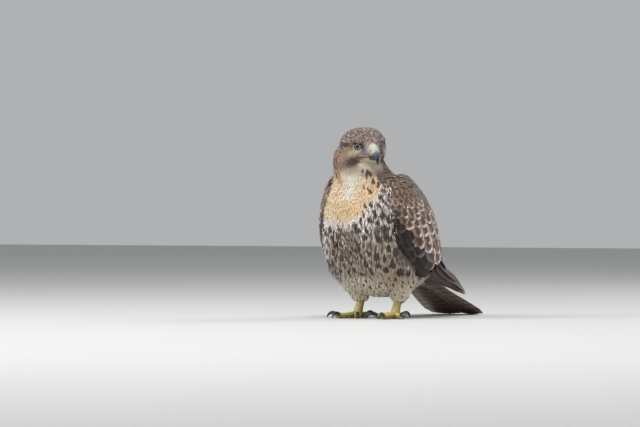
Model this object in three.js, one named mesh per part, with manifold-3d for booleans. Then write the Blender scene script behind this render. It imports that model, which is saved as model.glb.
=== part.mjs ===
// A young red-tailed hawk, life size, standing on the floor with its wings folded.
// Millimetres, +Z up. The hawk's body faces -Y and its left side is +X. Its head is turned to its left.
// The origin is on the floor, under the middle of the whole bird.
import * as THREE from "three";
import { mergeVertices } from "three/addons/utils/BufferGeometryUtils.js";
import Module from "manifold-3d";

const wasm = await Module();
wasm.setup();

// Driving sizes
const GAP = 0.35; // left between pieces that touch
const FLOOR = 0;
const SUNK = 3; // how deep a feather's root goes into what it grows from
const FEATHER_THICK = 0.6;
const FLIGHT_THICK = 0.75;
const STACK_STEP = 1.1; // from one overlapping flight feather to the next

// Body sections from the vent up to the nape: height, middle x, middle y, half width, half depth,
// and how much each section rises towards the back of the turned head
const BODY = [
  [34, 0, 12, 14, 18, 0],
  [42, 0, 11, 38, 35, 0],
  [54, 0, 9, 59, 52, 0],
  [68, 0, 6, 75, 62, 0],
  [86, 0, 3, 82, 69.5, 0],
  [104, 0, 1, 83, 73, 0],
  [126, 0, -4, 84, 73, 0],
  [148, 0, -10, 81, 70, 0],
  [168, 0, -16, 75, 66, 0],
  [186, 0, -20, 66, 60, 0],
  [202, 0, -27, 55.5, 53.5, 0],
  [218, -1, -41, 44.5, 44.5, 0.08],
  [232, -3, -47.5, 40, 39.5, 0.26],
  [243, -4.5, -49, 36, 35.5, 0.34],
  [252, -4, -48.5, 30.5, 30, 0.36],
  [259, -2, -47.5, 21, 21, 0.36],
  [262, -1, -47, 9, 9, 0.36],
];
const BODY_SQUARE = 2.35; // exponent of the body's rounded-square sections
const NECK_CUT = { z: 206, y: -28, tilt: THREE.MathUtils.degToRad(14) };

// Folded wing, as a patch on an envelope that runs from the shoulders to the wing tips.
// Section centre y and z, lean of the section, half width, reach to the back, reach to the belly,
// and the patch's two edges as angles from the middle of the back
const WING = [
  [-26, 213, 6, 57, 40, 46, 62, 118],
  [-18, 189, 8, 73, 55, 56, 42, 136],
  [-9, 158, 11, 86, 66, 64, 27, 142],
  [2, 124, 16, 90, 71, 66, 19, 141],
  [20, 94, 30, 87, 64, 58, 14, 134],
  [54, 74, 52, 78, 42, 44, 12, 127],
  [104, 61, 68, 62, 25, 25, 11, 120],
  [164, 52, 74, 39, 15, 14, 12, 112],
  [232, 34, 76, 19, 8, 8, 16, 106],
];
const WING_SQUARE = 2.2;
const WING_CORE_END = 5.25; // in sections
const WING_CORE_DEEP = 15;
const WING_ROOT = 3.9;
const WING_STATIONS = [4.8, 5.8, 6.8];
const WING_STEP = 1.05; // each flight feather lies this much deeper than the one behind it
const SECONDARY_TIPS = [6.7, 6.5, 6.2, 5.9];
const PRIMARY_TIPS = [7.1, 7.7, 8, 7.8, 7.2];
// Coverts in tiers, from the back edge to the leading edge: count, from and to across the patch,
// tips at the back and at the front, length, all in sections, width in mm, and rise over the core
const COVERTS = [
  [7, 0.06, 0.8, 5, 4.62, 1.3, 25, 3.6, 0.2],
  [2, 0.86, 0.96, 4.5, 4.2, 1.3, 18, 0.4, 0],
  [6, 0.12, 0.93, 4.1, 3.85, 1, 26, 3.4, 1.8],
  [5, 0.1, 0.9, 3.32, 3.2, 0.95, 28, 3.2, 2.2],
  [5, 0.13, 0.89, 2.55, 2.5, 0.9, 28, 3, 2.4],
  [4, 0.14, 0.86, 1.75, 1.75, 0.8, 26, 2.6, 2.4],
  [1, 0.04, 0.04, 5.6, 5.6, 1.4, 24, 5, 4.4],
  [2, 0.02, 0.13, 4.7, 4.6, 1.2, 24, 5.2, 4.6],
  [1, 0.06, 0.06, 3.8, 3.7, 1.1, 24, 5.2, 4.6],
];

// Tail: a fan of twelve feathers that slopes down from the rump until its tips lie on the floor
const TAIL_ROOT = new THREE.Vector3(0, 60, 80);
const TAIL_LENGTH = 205;
const TAIL_SLOPE = THREE.MathUtils.degToRad(24.1);
const TAIL_PAIRS = 6;
const TAIL_FAN = THREE.MathUtils.degToRad(2.1); // between neighbours
const TAIL_FEATHER_WIDTH = 33;

// Head, in its own frame: +X towards the bill, +Y to the bird's left, origin midway between the eyes
const HEAD_AT = new THREE.Vector3(18, -56.5, 257);
const HEAD_YAW = THREE.MathUtils.degToRad(51); // to the bird's left
const HEAD_PITCH = THREE.MathUtils.degToRad(1); // bill down
const HEAD_ROLL = THREE.MathUtils.degToRad(3.5); // right side down
// x, middle y, half width, top, bottom
const HEAD = [
  [-49, -2, 9, 6, -12],
  [-44, -2.5, 23, 18, -24],
  [-32, -3, 32.5, 26, -32],
  [-18, -2.5, 34.5, 28.8, -34],
  [-6, -1, 31.5, 28.2, -32],
  [4, 0, 26.5, 25, -28],
  [12, 0, 20, 17.8, -24.5],
  [18, 0, 13.6, 10.2, -21],
  [22.5, 0, 8.6, 5, -18.4],
];
const HEAD_SQUARE = 2.4;
const EYE = { x: 2, y: 12.4, z: 0, radius: 9.7 };
const EYE_TURN = THREE.MathUtils.degToRad(50); // of each eye's axis from straight ahead
const LID = { radius: 7.9, thick: 1.3, out: 7 };
const ORBIT = { out: 14, deep: 7, wide: 12, high: 8.6 };
const BROW = { x: 6, y: 21.6, z: 9.6, long: 13, wide: 4.6, high: 3, drop: 0.2, turn: 0.42 };

// Upper bill outline in its middle plane: ridge x and z, cutting edge x and z, half width
const BILL = [
  [14, 5, 14, -13, 8.8],
  [21, 4.8, 20, -13.8, 8.4],
  [27, 3.2, 26, -13.9, 7.4],
  [33, -0.8, 31.5, -13.4, 6.2],
  [38, -6.6, 35.6, -13.9, 4.9],
  [41.4, -13.4, 37.4, -17, 3.6],
  [42.4, -19.6, 39.2, -21, 2.3],
  [41.6, -25.6, 40.8, -25.2, 0.6],
];
const LOWER_BILL = [
  [13, -13.2, 13, -19.8, 7.6],
  [20, -13.4, 19, -20.4, 6.8],
  [26, -13.2, 26, -19.9, 5.6],
  [31, -12.8, 30.5, -18.8, 4.4],
  [34.6, -13.6, 34, -17, 2.4],
];
const CERE_END = { x: 38, slant: THREE.MathUtils.degToRad(38.5) };
const NOSTRIL = { x: 27, y: 6.9, z: -4.4, radius: 1.4 };
const MOUTH = [
  [20, 8.9, -14],
  [14, 14.8, -14.6],
  [7, 20.8, -15],
];

// Legs, for the left side: centre x, y, z, half width, half depth
const THIGH = [
  [42, -8, 96, 30, 34],
  [44, -7, 76, 30, 34],
  [42, -4, 60, 26, 30],
  [38, 1, 46, 19, 22],
  [35, 3.5, 36, 14.5, 15.5],
  [34, 4.5, 27, 11.5, 12],
];
const SHANK = [
  [34, 7, 44, 6, 7.5],
  [33.5, 6, 34, 5.4, 7],
  [33, 2, 22, 5, 6.4],
  [33, -3, 12, 6, 7],
  [33, -5, 5, 7, 7.5],
];
const TOES = [
  // name, bearing from straight ahead towards the outside, length, radius, claw length
  ["middle", 2, 44, 4.9, 19],
  ["inner", -38, 31, 5.1, 23],
  ["outer", 42, 34, 4.5, 17],
  ["hind", 176, 26, 5.2, 25],
];
const FOOT = { x: 33, y: -5, outward: 6 };

const COLOURS = {
  brown: 0x5f4a3c,
  cream: 0xd9c3a3,
  dark: 0x2b2724,
  horn: 0x39414d,
  cere: 0xb9b56a,
  skin: 0xcdb64a,
  eye: 0x9c9a84,
};

// Tools

const degrees = THREE.MathUtils.degToRad;
const lerp = THREE.MathUtils.lerp;

// Seeded random numbers from 0 to 1
function randomFrom(seed) {
  let state = seed;
  return () => {
    state = (state * 1664525 + 1013904223) % 4294967296;
    return state / 4294967296;
  };
}

// A row of numbers between the rows of a table, on a smooth curve through them
function between(rows, s) {
  const last = rows.length - 1;
  const i = Math.min(Math.max(Math.floor(s), 0), last - 1);
  const t = s - i;
  const [a, b] = [rows[Math.max(i - 1, 0)], rows[i]];
  const [c, d] = [rows[i + 1], rows[Math.min(i + 2, last)]];
  return b.map((value, k) => {
    const slope = (c[k] - a[k]) * t;
    const square = (2 * a[k] - 5 * value + 4 * c[k] - d[k]) * t * t;
    const cube = (3 * value - 3 * c[k] + d[k] - a[k]) * t * t * t;
    return 0.5 * (2 * value + slope + square + cube);
  });
}

// sin or cos with its size raised, which squares off an ellipse
function squared(value, exponent) {
  return Math.sign(value) * Math.abs(value) ** (2 / exponent);
}

function solidOf(geometry) {
  const bare = geometry.clone();
  for (const name of ["normal", "uv"]) bare.deleteAttribute(name);
  const merged = mergeVertices(bare, 1e-4);
  const triVerts = new Uint32Array(merged.index.array);
  const vertProperties = merged.getAttribute("position").array;
  const made = new wasm.Manifold(new wasm.Mesh({ numProp: 3, vertProperties, triVerts }));
  if (made.volume() >= 0) return made;
  for (let i = 0; i < triVerts.length; i += 3) {
    [triVerts[i + 1], triVerts[i + 2]] = [triVerts[i + 2], triVerts[i + 1]];
  }
  return new wasm.Manifold(new wasm.Mesh({ numProp: 3, vertProperties, triVerts }));
}

// A closed skin over rings of points, with a fan over the first and the last ring
function loft(rings) {
  const count = rings[0].length;
  const points = rings.flat();
  const faces = [];
  for (let r = 0; r + 1 < rings.length; r++) {
    for (let k = 0; k < count; k++) {
      const [a, b] = [r * count + k, r * count + ((k + 1) % count)];
      faces.push(a, b, b + count, a, b + count, a + count);
    }
  }
  for (const [ring, start, turned] of [
    [rings[0], 0, true],
    [rings.at(-1), (rings.length - 1) * count, false],
  ]) {
    const middle = new THREE.Vector3();
    ring.forEach((p) => middle.addScaledVector(p, 1 / count));
    const centre = points.push(middle) - 1;
    for (let k = 0; k < count; k++) {
      const [a, b] = [start + k, start + ((k + 1) % count)];
      faces.push(...(turned ? [b, a, centre] : [a, b, centre]));
    }
  }
  return solidOf(new THREE.BufferGeometry().setFromPoints(points).setIndex(faces));
}

// A thin plate: place(a, c, lift) is its point a along and c across, lift above its middle.
// Both faces are split into triangles alike.
function plate(place, along, across, thick) {
  const columns = across.length;
  const points = [];
  for (const lift of [thick / 2, -thick / 2]) {
    for (const a of along) for (const c of across) points.push(place(a, c, lift));
  }
  const under = along.length * columns;
  const faces = [];
  for (let r = 0; r + 1 < along.length; r++) {
    for (let k = 0; k + 1 < columns; k++) {
      const [a, b] = [r * columns + k, r * columns + k + 1];
      const [c, d] = [a + columns, b + columns];
      faces.push(a, b, d, a, d, c);
      faces.push(under + a, under + d, under + b, under + a, under + c, under + d);
    }
  }
  const rim = [];
  for (let k = 0; k + 1 < columns; k++) rim.push(k);
  for (let r = 0; r + 1 < along.length; r++) rim.push(r * columns + columns - 1);
  for (let k = columns - 1; k > 0; k--) rim.push((along.length - 1) * columns + k);
  for (let r = along.length - 1; r > 0; r--) rim.push(r * columns);
  rim.forEach((a, i) => {
    const b = rim[(i + 1) % rim.length];
    faces.push(b, a, under + a, b, under + a, under + b);
  });
  return solidOf(new THREE.BufferGeometry().setFromPoints(points).setIndex(faces));
}

// How far ring i of a form grown by grow moves outwards along the form: only its ends do
function endShift(i, steps, grow) {
  if (i === 0) return -grow;
  return i === steps ? grow : 0;
}

// A round rod along a smooth curve, with its radius given at each point
function rod(points, radii, sides, steps, grow = 0) {
  const curve = new THREE.CatmullRomCurve3(points);
  const frames = curve.computeFrenetFrames(steps);
  const rings = [];
  for (let i = 0; i <= steps; i++) {
    const t = i / steps;
    const [radius] = between(radii.map((r) => [r + grow]), t * (radii.length - 1));
    const middle = curve.getPoint(t).addScaledVector(frames.tangents[i], endShift(i, steps, grow));
    const ring = [];
    for (let k = 0; k < sides; k++) {
      const angle = ((k + 0.5) / sides) * 2 * Math.PI;
      ring.push(
        middle
          .clone()
          .addScaledVector(frames.normals[i], radius * Math.cos(angle))
          .addScaledVector(frames.binormals[i], radius * Math.sin(angle)),
      );
    }
    rings.push(ring);
  }
  return loft(rings);
}

// What stays of a solid once loose scraps are dropped
function largest(solid) {
  const pieces = solid.decompose();
  return pieces.reduce((a, b) => (b.volume() > a.volume() ? b : a));
}

function geometryOf(solid) {
  const mesh = solid.getMesh();
  return new THREE.BufferGeometry()
    .setAttribute("position", new THREE.BufferAttribute(mesh.vertProperties, 3))
    .setIndex(new THREE.BufferAttribute(mesh.triVerts, 1));
}

const underFloor = solidOf(new THREE.BoxGeometry(2000, 2000, 2000).translate(0, 0, FLOOR - 1000));

function aboveFloor(solid) {
  return solid.subtract(underFloor);
}

function joined(solids) {
  return wasm.Manifold.union(solids);
}

function mirrored(solid) {
  return solidOf(geometryOf(solid).scale(-1, 1, 1));
}

// Body

function bodyPoint(s, angle, grow) {
  const [z, midX, midY, half, deep, rise] = between(BODY, s);
  const x = (half + grow) * squared(Math.sin(angle), BODY_SQUARE);
  const y = -(deep + grow) * squared(Math.cos(angle), BODY_SQUARE);
  const ahead = x * Math.sin(HEAD_YAW) - y * Math.cos(HEAD_YAW);
  return new THREE.Vector3(midX + x, midY + y, z - rise * ahead);
}

function bodyForm(grow) {
  const [sides, steps] = [30, 20];
  const rings = [];
  for (let i = 0; i <= steps; i++) {
    const s = (i / steps) * (BODY.length - 1);
    const ring = [];
    for (let k = 0; k < sides; k++) ring.push(bodyPoint(s, (k / sides) * 2 * Math.PI, grow));
    rings.push(ring);
  }
  return loft(rings);
}

// The half of space above the cut between torso and neck
function neckSide(shift) {
  const geometry = new THREE.BoxGeometry(2000, 2000, 2000).translate(0, 0, 1000 + shift);
  return solidOf(geometry.rotateX(NECK_CUT.tilt).translate(0, NECK_CUT.y, NECK_CUT.z));
}

// Wing

function wingPoint(s, angle, lift) {
  const [y, z, lean, half, back, belly] = between(WING, s);
  const tilt = degrees(lean);
  const reach = (Math.cos(angle) > 0 ? back : belly) + lift;
  const out = reach * squared(Math.cos(angle), WING_SQUARE);
  const x = (half + lift) * squared(Math.sin(angle), WING_SQUARE);
  return new THREE.Vector3(x, y + out * Math.cos(tilt), z + out * Math.sin(tilt));
}

// The angle at v across the wing patch, from its edge on the back to its leading edge
function wingAngle(s, v) {
  const row = between(WING, s);
  return degrees(lerp(row[6], row[7], v));
}

function wingCore() {
  const [columns, steps] = [7, 9];
  const rings = [];
  for (let i = 0; i <= steps; i++) {
    const s = lerp(0.15, WING_CORE_END, i / steps);
    const end = Math.max(0, (s - 4) / (WING_CORE_END - 4));
    const ring = [];
    for (let k = 0; k <= columns; k++) ring.push(wingPoint(s, wingAngle(s, k / columns), -4 * end));
    for (let k = columns; k >= 0; k--) {
      ring.push(wingPoint(s, wingAngle(s, k / columns), lerp(-WING_CORE_DEEP, -7.5, end)));
    }
    rings.push(ring);
  }
  return loft(rings);
}

// One feather that lies on the wing at v across it. Its stations along it hold the section,
// the share of its width and the height over the wing. Its edge towards the belly lies deeper
// when slant is positive.
function wingFeather(v, width, slant, stations, across) {
  const place = (i, c, lift) => {
    const [s, share, height] = stations[i];
    const angle = wingAngle(s, v);
    const arc = wingPoint(s, angle + 0.02, 0).distanceTo(wingPoint(s, angle - 0.02, 0)) / 0.04;
    return wingPoint(s, angle + (c * share * width) / 2 / arc, height - slant * c + lift);
  };
  return plate(place, [...stations.keys()], across, FEATHER_THICK);
}

const FLIGHT_ALONG = [0, 0.4, 0.9, 1];
const COVERT_ALONG = [0, 0.75, 1];
const FLAT = [-1, 1];
const RIDGED = [-1, 0, 1];

// A tier of coverts across the wing patch
function covertTier([count, from, to, tip, tipEnd, long, width, high, highEnd], random) {
  const made = [];
  for (let k = 0; k < count; k++) {
    const share = count > 1 ? k / (count - 1) : 0.5;
    const v = lerp(from, to, share) + (random() - 0.5) * 0.02;
    const s1 = lerp(tip, tipEnd, share) + (random() - 0.5) * 0.1;
    const top = lerp(high, highEnd, v);
    const stations = [
      [s1 - long, 0.25, -SUNK],
      [s1 - long * 0.25, 1, top],
      [s1, 0.36, top],
    ];
    made.push(wingFeather(v, width * (0.96 + 0.08 * random()), 0.5, stations, FLAT));
  }
  return made;
}

function wing(seed) {
  const random = randomFrom(seed);
  const pieces = [wingCore()];
  const tips = [...SECONDARY_TIPS, ...PRIMARY_TIPS];
  tips.forEach((tip, k) => {
    const high = 2.4 - WING_STEP * k;
    const along = WING_STATIONS.filter((s) => s < tip - 0.5).map((s) => [s, 1, high]);
    const stations = [[WING_ROOT, 0.3, high - 4], ...along, [tip - 0.25, 0.93, high], [tip, 0.4, high]];
    const width = k < SECONDARY_TIPS.length ? 26 : 24;
    pieces.push(wingFeather(lerp(0.08, 0.94, k / (tips.length - 1)), width, -0.3, stations, RIDGED));
  });
  for (const tier of COVERTS) pieces.push(...covertTier(tier, random));
  return joined(pieces);
}


// Tail

// A point of the tail's frame: along its slope, out to the bird's left, and up from its plane
function tailPoint(along, out, up) {
  const [c, s] = [Math.cos(TAIL_SLOPE), Math.sin(TAIL_SLOPE)];
  return TAIL_ROOT.clone().add(new THREE.Vector3(out, along * c + up * s, up * c - along * s));
}

function tailCore(grow) {
  // along, half width, top, underside
  const sections = [
    [-16, 20, 12, -16],
    [0, 27, 13, -20],
    [22, 27, 11, -17],
    [46, 23, 8, -10],
    [66, 17, 4.5, -4],
  ];
  const [sides, steps] = [14, 6];
  const rings = [];
  for (let i = 0; i <= steps; i++) {
    const [along, half, top, low] = between(sections, (i / steps) * (sections.length - 1));
    const ring = [];
    for (let k = 0; k < sides; k++) {
      const angle = (k / sides) * 2 * Math.PI;
      const up = (top + low) / 2 + ((top - low) / 2) * Math.sin(angle);
      const on = along + endShift(i, steps, grow);
      ring.push(tailPoint(on, (half + grow) * Math.cos(angle), up + grow * Math.sin(angle)));
    }
    rings.push(ring);
  }
  return loft(rings);
}

function tailFeather({ from, length, fan, width, up, rise, bow, along, across, shape }) {
  const place = (a, c, lift) => {
    const distance = lerp(from, length, a);
    const [share] = between(shape.map((w) => [w]), a * (shape.length - 1));
    const half = (width * share) / 2;
    const out = distance * Math.sin(fan) + c * half;
    const height = lerp(up, rise, a) - bow * c * c + lift;
    return tailPoint(distance * Math.cos(fan), out, height);
  };
  return plate(place, along, across, FLIGHT_THICK);
}

function tail() {
  const pieces = [tailCore(0)];
  for (let pair = 0; pair < TAIL_PAIRS; pair++) {
    for (const side of [-1, 1]) {
      const layer = (TAIL_PAIRS - 1 - pair) * STACK_STEP + (side > 0 && pair === 0 ? STACK_STEP : 0);
      pieces.push(
        tailFeather({
          from: 30,
          length: TAIL_LENGTH - 0.35 * pair * pair,
          fan: side * TAIL_FAN * (pair + 0.45),
          width: TAIL_FEATHER_WIDTH,
          up: layer - 2.2,
          rise: layer,
          bow: 0.25,
          along: FLIGHT_ALONG,
          across: RIDGED,
          shape: [0.3, 0.8, 1, 1, 0.97, 0.45],
        }),
      );
    }
  }
  // Coverts over and under the roots of the tail feathers
  const tiers = [
    { count: 4, from: 8, length: 80, spread: 4.2, width: 23, up: 4, rise: 9.6 },
    { count: 3, from: -4, length: 62, spread: 6, width: 24, up: 7, rise: 13.5 },
    { count: 4, from: 8, length: 96, spread: 4.2, width: 23, up: -8, rise: -4.5 },
    { count: 3, from: 0, length: 70, spread: 6, width: 24, up: -13, rise: -12 },
  ];
  for (const { count, from, length, spread, width, up, rise } of tiers) {
    for (let k = 0; k < count; k++) {
      const aside = k - (count - 1) / 2;
      pieces.push(
        tailFeather({
          from,
          length: length - 1.5 * aside * aside,
          fan: degrees(spread * aside),
          width,
          up,
          rise: rise - 0.35 * Math.abs(aside) * Math.sign(rise),
          bow: 0,
          along: COVERT_ALONG,
          across: FLAT,
          shape: [0.3, 1, 1, 0.36],
        }),
      );
    }
  }
  return joined(pieces);
}

// Head

const headMatrix = new THREE.Matrix4()
  .makeTranslation(HEAD_AT)
  .multiply(new THREE.Matrix4().makeRotationZ(HEAD_YAW - Math.PI / 2))
  .multiply(new THREE.Matrix4().makeRotationY(HEAD_PITCH))
  .multiply(new THREE.Matrix4().makeRotationX(HEAD_ROLL));

function headPoint(x, y, z) {
  return new THREE.Vector3(x, y, z).applyMatrix4(headMatrix);
}

function inHead(geometry) {
  return solidOf(geometry.applyMatrix4(headMatrix));
}

// A lofted form along the head from rows of x, half width, top and bottom
function headForm(grow) {
  const [sides, steps] = [24, 15];
  const rings = [];
  for (let i = 0; i <= steps; i++) {
    const [x, mid, half, top, bottom] = between(HEAD, (i / steps) * (HEAD.length - 1));
    const ring = [];
    for (let k = 0; k < sides; k++) {
      const angle = (k / sides) * 2 * Math.PI;
      const y = mid + (half + grow) * squared(Math.cos(angle), HEAD_SQUARE);
      const reach = (top - bottom) / 2 + grow;
      ring.push(headPoint(x + endShift(i, steps, grow), y, (top + bottom) / 2 + reach * squared(Math.sin(angle), HEAD_SQUARE)));
    }
    rings.push(ring);
  }
  return loft(rings);
}

// A bill half from rows of two edges in the middle plane and a half width
function billForm(rows, grow) {
  const [sides, steps] = [10, 12];
  const rings = [];
  for (let i = 0; i <= steps; i++) {
    const [x0, z0, x1, z1, half] = between(rows, (i / steps) * (rows.length - 1));
    const height = Math.hypot(x0 - x1, z0 - z1);
    const more = 1 + (2 * grow) / height;
    const ring = [];
    for (let k = 0; k < sides; k++) {
      const angle = (k / sides) * 2 * Math.PI;
      const rise = Math.sin(angle) * more;
      const widest = half * (1 - 0.22 * Math.max(rise, 0));
      const y = (Math.max(widest, 0.25) + grow) * Math.cos(angle);
      const x = lerp(x1, x0, (1 + rise) / 2) + endShift(i, steps, grow);
      ring.push(headPoint(x, y, lerp(z1, z0, (1 + rise) / 2)));
    }
    rings.push(ring);
  }
  return loft(rings);
}

function eyeBall(side, grow) {
  const geometry = new THREE.SphereGeometry(EYE.radius + grow, 14, 10);
  return inHead(geometry.translate(EYE.x, side * EYE.y, EYE.z));
}

function eyeAxis(side) {
  return new THREE.Vector3(Math.cos(EYE_TURN), side * Math.sin(EYE_TURN), 0);
}

// The raised rim of the lids round one eye
function lidRim(side) {
  const axis = eyeAxis(side);
  const turn = new THREE.Quaternion().setFromUnitVectors(new THREE.Vector3(0, 0, 1), axis);
  const geometry = new THREE.TorusGeometry(LID.radius, LID.thick, 5, 14).applyQuaternion(turn);
  const out = axis.clone().multiplyScalar(LID.out);
  return inHead(geometry.translate(EYE.x + out.x, side * EYE.y + out.y, EYE.z + out.z));
}

// The ridge that overhangs the eye
function brow(side) {
  const geometry = new THREE.SphereGeometry(1, 10, 7).scale(BROW.long, BROW.wide, BROW.high);
  geometry.rotateY(BROW.drop).rotateZ(-side * BROW.turn);
  return inHead(geometry.translate(BROW.x, side * BROW.y, BROW.z));
}

// The shallow hollow round each eye, which lets the brow stand out
function orbit(side) {
  const geometry = new THREE.SphereGeometry(1, 12, 6).scale(ORBIT.deep, ORBIT.wide, ORBIT.high);
  const out = eyeAxis(side).multiplyScalar(ORBIT.out);
  geometry.rotateZ(side * EYE_TURN);
  return inHead(geometry.translate(EYE.x + out.x, side * EYE.y + out.y, EYE.z));
}

function mouthLine(side) {
  const points = MOUTH.map(([x, y, z]) => headPoint(x, side * y, z));
  return rod(points, [0.8, 0.8, 0.5], 4, 3);
}

function nostril(side) {
  const geometry = new THREE.SphereGeometry(NOSTRIL.radius, 8, 6);
  return inHead(geometry.translate(NOSTRIL.x, side * NOSTRIL.y, NOSTRIL.z));
}

const both = [-1, 1];

// The half of space in front of the cere's edge
function beyondCere(shift) {
  const geometry = new THREE.BoxGeometry(200, 200, 200).translate(100 + shift, 0, 0);
  return inHead(geometry.rotateY(CERE_END.slant).translate(CERE_END.x, 0, 0));
}

function head() {
  let made = headForm(0).subtract(joined(both.map(orbit)));
  made = joined([made, ...both.map(brow), ...both.map(lidRim)]);
  made = made.subtract(joined(both.map((side) => eyeBall(side, GAP))));
  made = made.subtract(billForm(BILL, GAP)).subtract(billForm(LOWER_BILL, GAP));
  return made.subtract(joined(both.map(mouthLine)));
}

// Legs, for the left side

function legForm(rows, grow, sides, steps) {
  const rings = [];
  for (let i = 0; i <= steps; i++) {
    const [x, y, z, wide, deep] = between(rows, (i / steps) * (rows.length - 1));
    const ring = [];
    for (let k = 0; k < sides; k++) {
      const angle = (k / sides) * 2 * Math.PI;
      const across = (wide + grow) * Math.cos(angle);
      const height = z - endShift(i, steps, grow);
      ring.push(new THREE.Vector3(x + across, y + (deep + grow) * Math.sin(angle), height));
    }
    rings.push(ring);
  }
  return loft(rings);
}

function bearing(angle) {
  return new THREE.Vector3(Math.sin(degrees(angle)), -Math.cos(degrees(angle)), 0);
}

function toe([, angle, length, radius], grow) {
  const ahead = bearing(angle + FOOT.outward);
  const start = new THREE.Vector3(FOOT.x, FOOT.y, 0);
  const at = (share, z) => start.clone().addScaledVector(ahead, length * share).setZ(z);
  const points = [at(0.02, 6), at(0.34, 4.4), at(0.68, 3.8), at(1, 4)];
  const radii = [radius * 1.15, radius, radius * 1.05, radius * 0.86, radius * 0.98, radius * 0.6];
  return rod(points, radii, 7, 6, grow);
}

function claw([, angle, length, , clawLength]) {
  const ahead = bearing(angle + FOOT.outward);
  const start = new THREE.Vector3(FOOT.x, FOOT.y, 0).addScaledVector(ahead, length - 3);
  const at = (out, z) => start.clone().addScaledVector(ahead, out * clawLength).setZ(z);
  const points = [at(0, 4.4), at(0.3, 7.6), at(0.6, 7.6), at(0.82, 4.8), at(0.93, 0.9)];
  return rod(points, [3, 3.1, 2.5, 1.6, 0.5], 6, 5);
}

// Assembly, with each piece cut back from the ones it meets

const scene = new THREE.Group();

function material(colour, roughness = 0.85) {
  return new THREE.MeshStandardMaterial({ color: colour, roughness, metalness: 0, flatShading: true });
}

const pieces = new Map();
const body = bodyForm(0);
const bodyGrown = bodyForm(GAP);
const headSolid = largest(head());
const headGrown = headForm(GAP);
const thigh = legForm(THIGH, 0, 16, 9);
const thighGrown = legForm(THIGH, GAP, 16, 9);
const rumpGrown = tailCore(GAP);
const shank = legForm(SHANK, 0, 10, 6);
const foot = joined([shank, ...TOES.map((row) => toe(row, 0))]);
const tailSolid = aboveFloor(largest(tail().subtract(bodyGrown)));

pieces.set("torso", [body.subtract(neckSide(0)), COLOURS.cream]);
pieces.set("neck", [body.intersect(neckSide(GAP)).subtract(headGrown), COLOURS.brown]);
pieces.set("head", [headSolid, COLOURS.brown]);
const nostrils = joined(both.map(nostril));
const upperBill = billForm(BILL, 0).subtract(nostrils);
pieces.set("cere", [upperBill.subtract(beyondCere(0)), COLOURS.cere]);
pieces.set("bill_upper", [upperBill.intersect(beyondCere(GAP)), COLOURS.horn]);
const upperGrown = billForm(BILL, GAP);
pieces.set("bill_lower", [billForm(LOWER_BILL, 0).subtract(upperGrown), COLOURS.horn]);
pieces.set("tail", [tailSolid, COLOURS.brown]);
for (const side of both) {
  const label = side > 0 ? "left" : "right";
  const facing = (solid) => (side > 0 ? solid : mirrored(solid));
  pieces.set(`eye_${label}`, [eyeBall(side, 0), COLOURS.eye]);
  const clear = bodyGrown.add(facing(thighGrown)).add(rumpGrown);
  const wingSolid = facing(wing(side > 0 ? 11 : 23)).subtract(clear);
  pieces.set(`wing_${label}`, [wingSolid, COLOURS.brown]);
  pieces.set(`thigh_${label}`, [facing(thigh).subtract(bodyGrown), COLOURS.cream]);
  pieces.set(`foot_${label}`, [facing(foot.subtract(thighGrown)), COLOURS.skin]);
  for (const row of TOES) {
    const nail = claw(row).subtract(toe(row, GAP));
    pieces.set(`claw_${row[0]}_${label}`, [facing(nail), COLOURS.dark]);
  }
}

for (const [name, [solid, colour]] of pieces) {
  const made = new THREE.Mesh(geometryOf(largest(aboveFloor(solid))), material(colour));
  made.name = name;
  scene.add(made);
}

// The origin goes under the middle of the whole bird
const bounds = new THREE.Box3().setFromObject(scene);
const centre = bounds.getCenter(new THREE.Vector3());
for (const mesh of scene.children) mesh.position.set(-centre.x, -centre.y, -bounds.min.z);

export default scene;
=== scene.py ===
# %% [markdown]
# # A young red-tailed hawk, standing
# This lesson dresses a bird of plain solids in skin, feathers, horn and glass.
# The solids come first, because every piece made here has to stay on them.

# %% Load the solids
import math
import bpy
import numpy as np
from mathutils import Matrix, Vector
from mathutils.bvhtree import BVHTree
from mathutils.kdtree import KDTree


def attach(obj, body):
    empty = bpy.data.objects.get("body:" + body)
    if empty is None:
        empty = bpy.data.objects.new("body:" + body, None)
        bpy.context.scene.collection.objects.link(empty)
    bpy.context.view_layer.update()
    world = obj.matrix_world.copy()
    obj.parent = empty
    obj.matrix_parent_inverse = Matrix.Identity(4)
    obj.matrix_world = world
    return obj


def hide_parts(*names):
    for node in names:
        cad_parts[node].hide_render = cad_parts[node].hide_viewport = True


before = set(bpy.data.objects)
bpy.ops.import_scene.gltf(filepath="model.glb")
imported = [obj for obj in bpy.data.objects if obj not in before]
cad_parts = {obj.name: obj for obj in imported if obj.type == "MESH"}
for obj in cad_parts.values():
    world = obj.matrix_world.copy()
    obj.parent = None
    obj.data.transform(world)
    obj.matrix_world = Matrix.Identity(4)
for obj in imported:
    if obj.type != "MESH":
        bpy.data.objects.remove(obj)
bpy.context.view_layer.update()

# %% [markdown]
# The camera is a long lens, five metres away and level with the bird's belly.
# A long lens keeps the bird's true proportions, as it does for anyone who watches a bird in the wild.

# %% Camera
LOOK_AT = Vector((-0.0729, -0.1290, 0.157))
CAMERA_DISTANCE = 5.0
CAMERA_TURN = math.radians(33)
FIELD_WIDTH = 0.96
SENSOR_WIDTH = 36.0

lens = bpy.data.cameras.new("photo_view")
lens.sensor_width = SENSOR_WIDTH
lens.lens = SENSOR_WIDTH * CAMERA_DISTANCE / FIELD_WIDTH
camera = bpy.data.objects.new("photo_view", lens)
aside = Vector((math.sin(CAMERA_TURN), -math.cos(CAMERA_TURN), 0))
camera.location = LOOK_AT + CAMERA_DISTANCE * aside
camera.rotation_euler = (math.pi / 2, 0, CAMERA_TURN)
bpy.context.scene.collection.objects.link(camera)
bpy.context.scene.camera = camera
print("camera", tuple(round(v, 3) for v in camera.location), "lens", round(lens.lens, 1), "mm")

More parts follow.
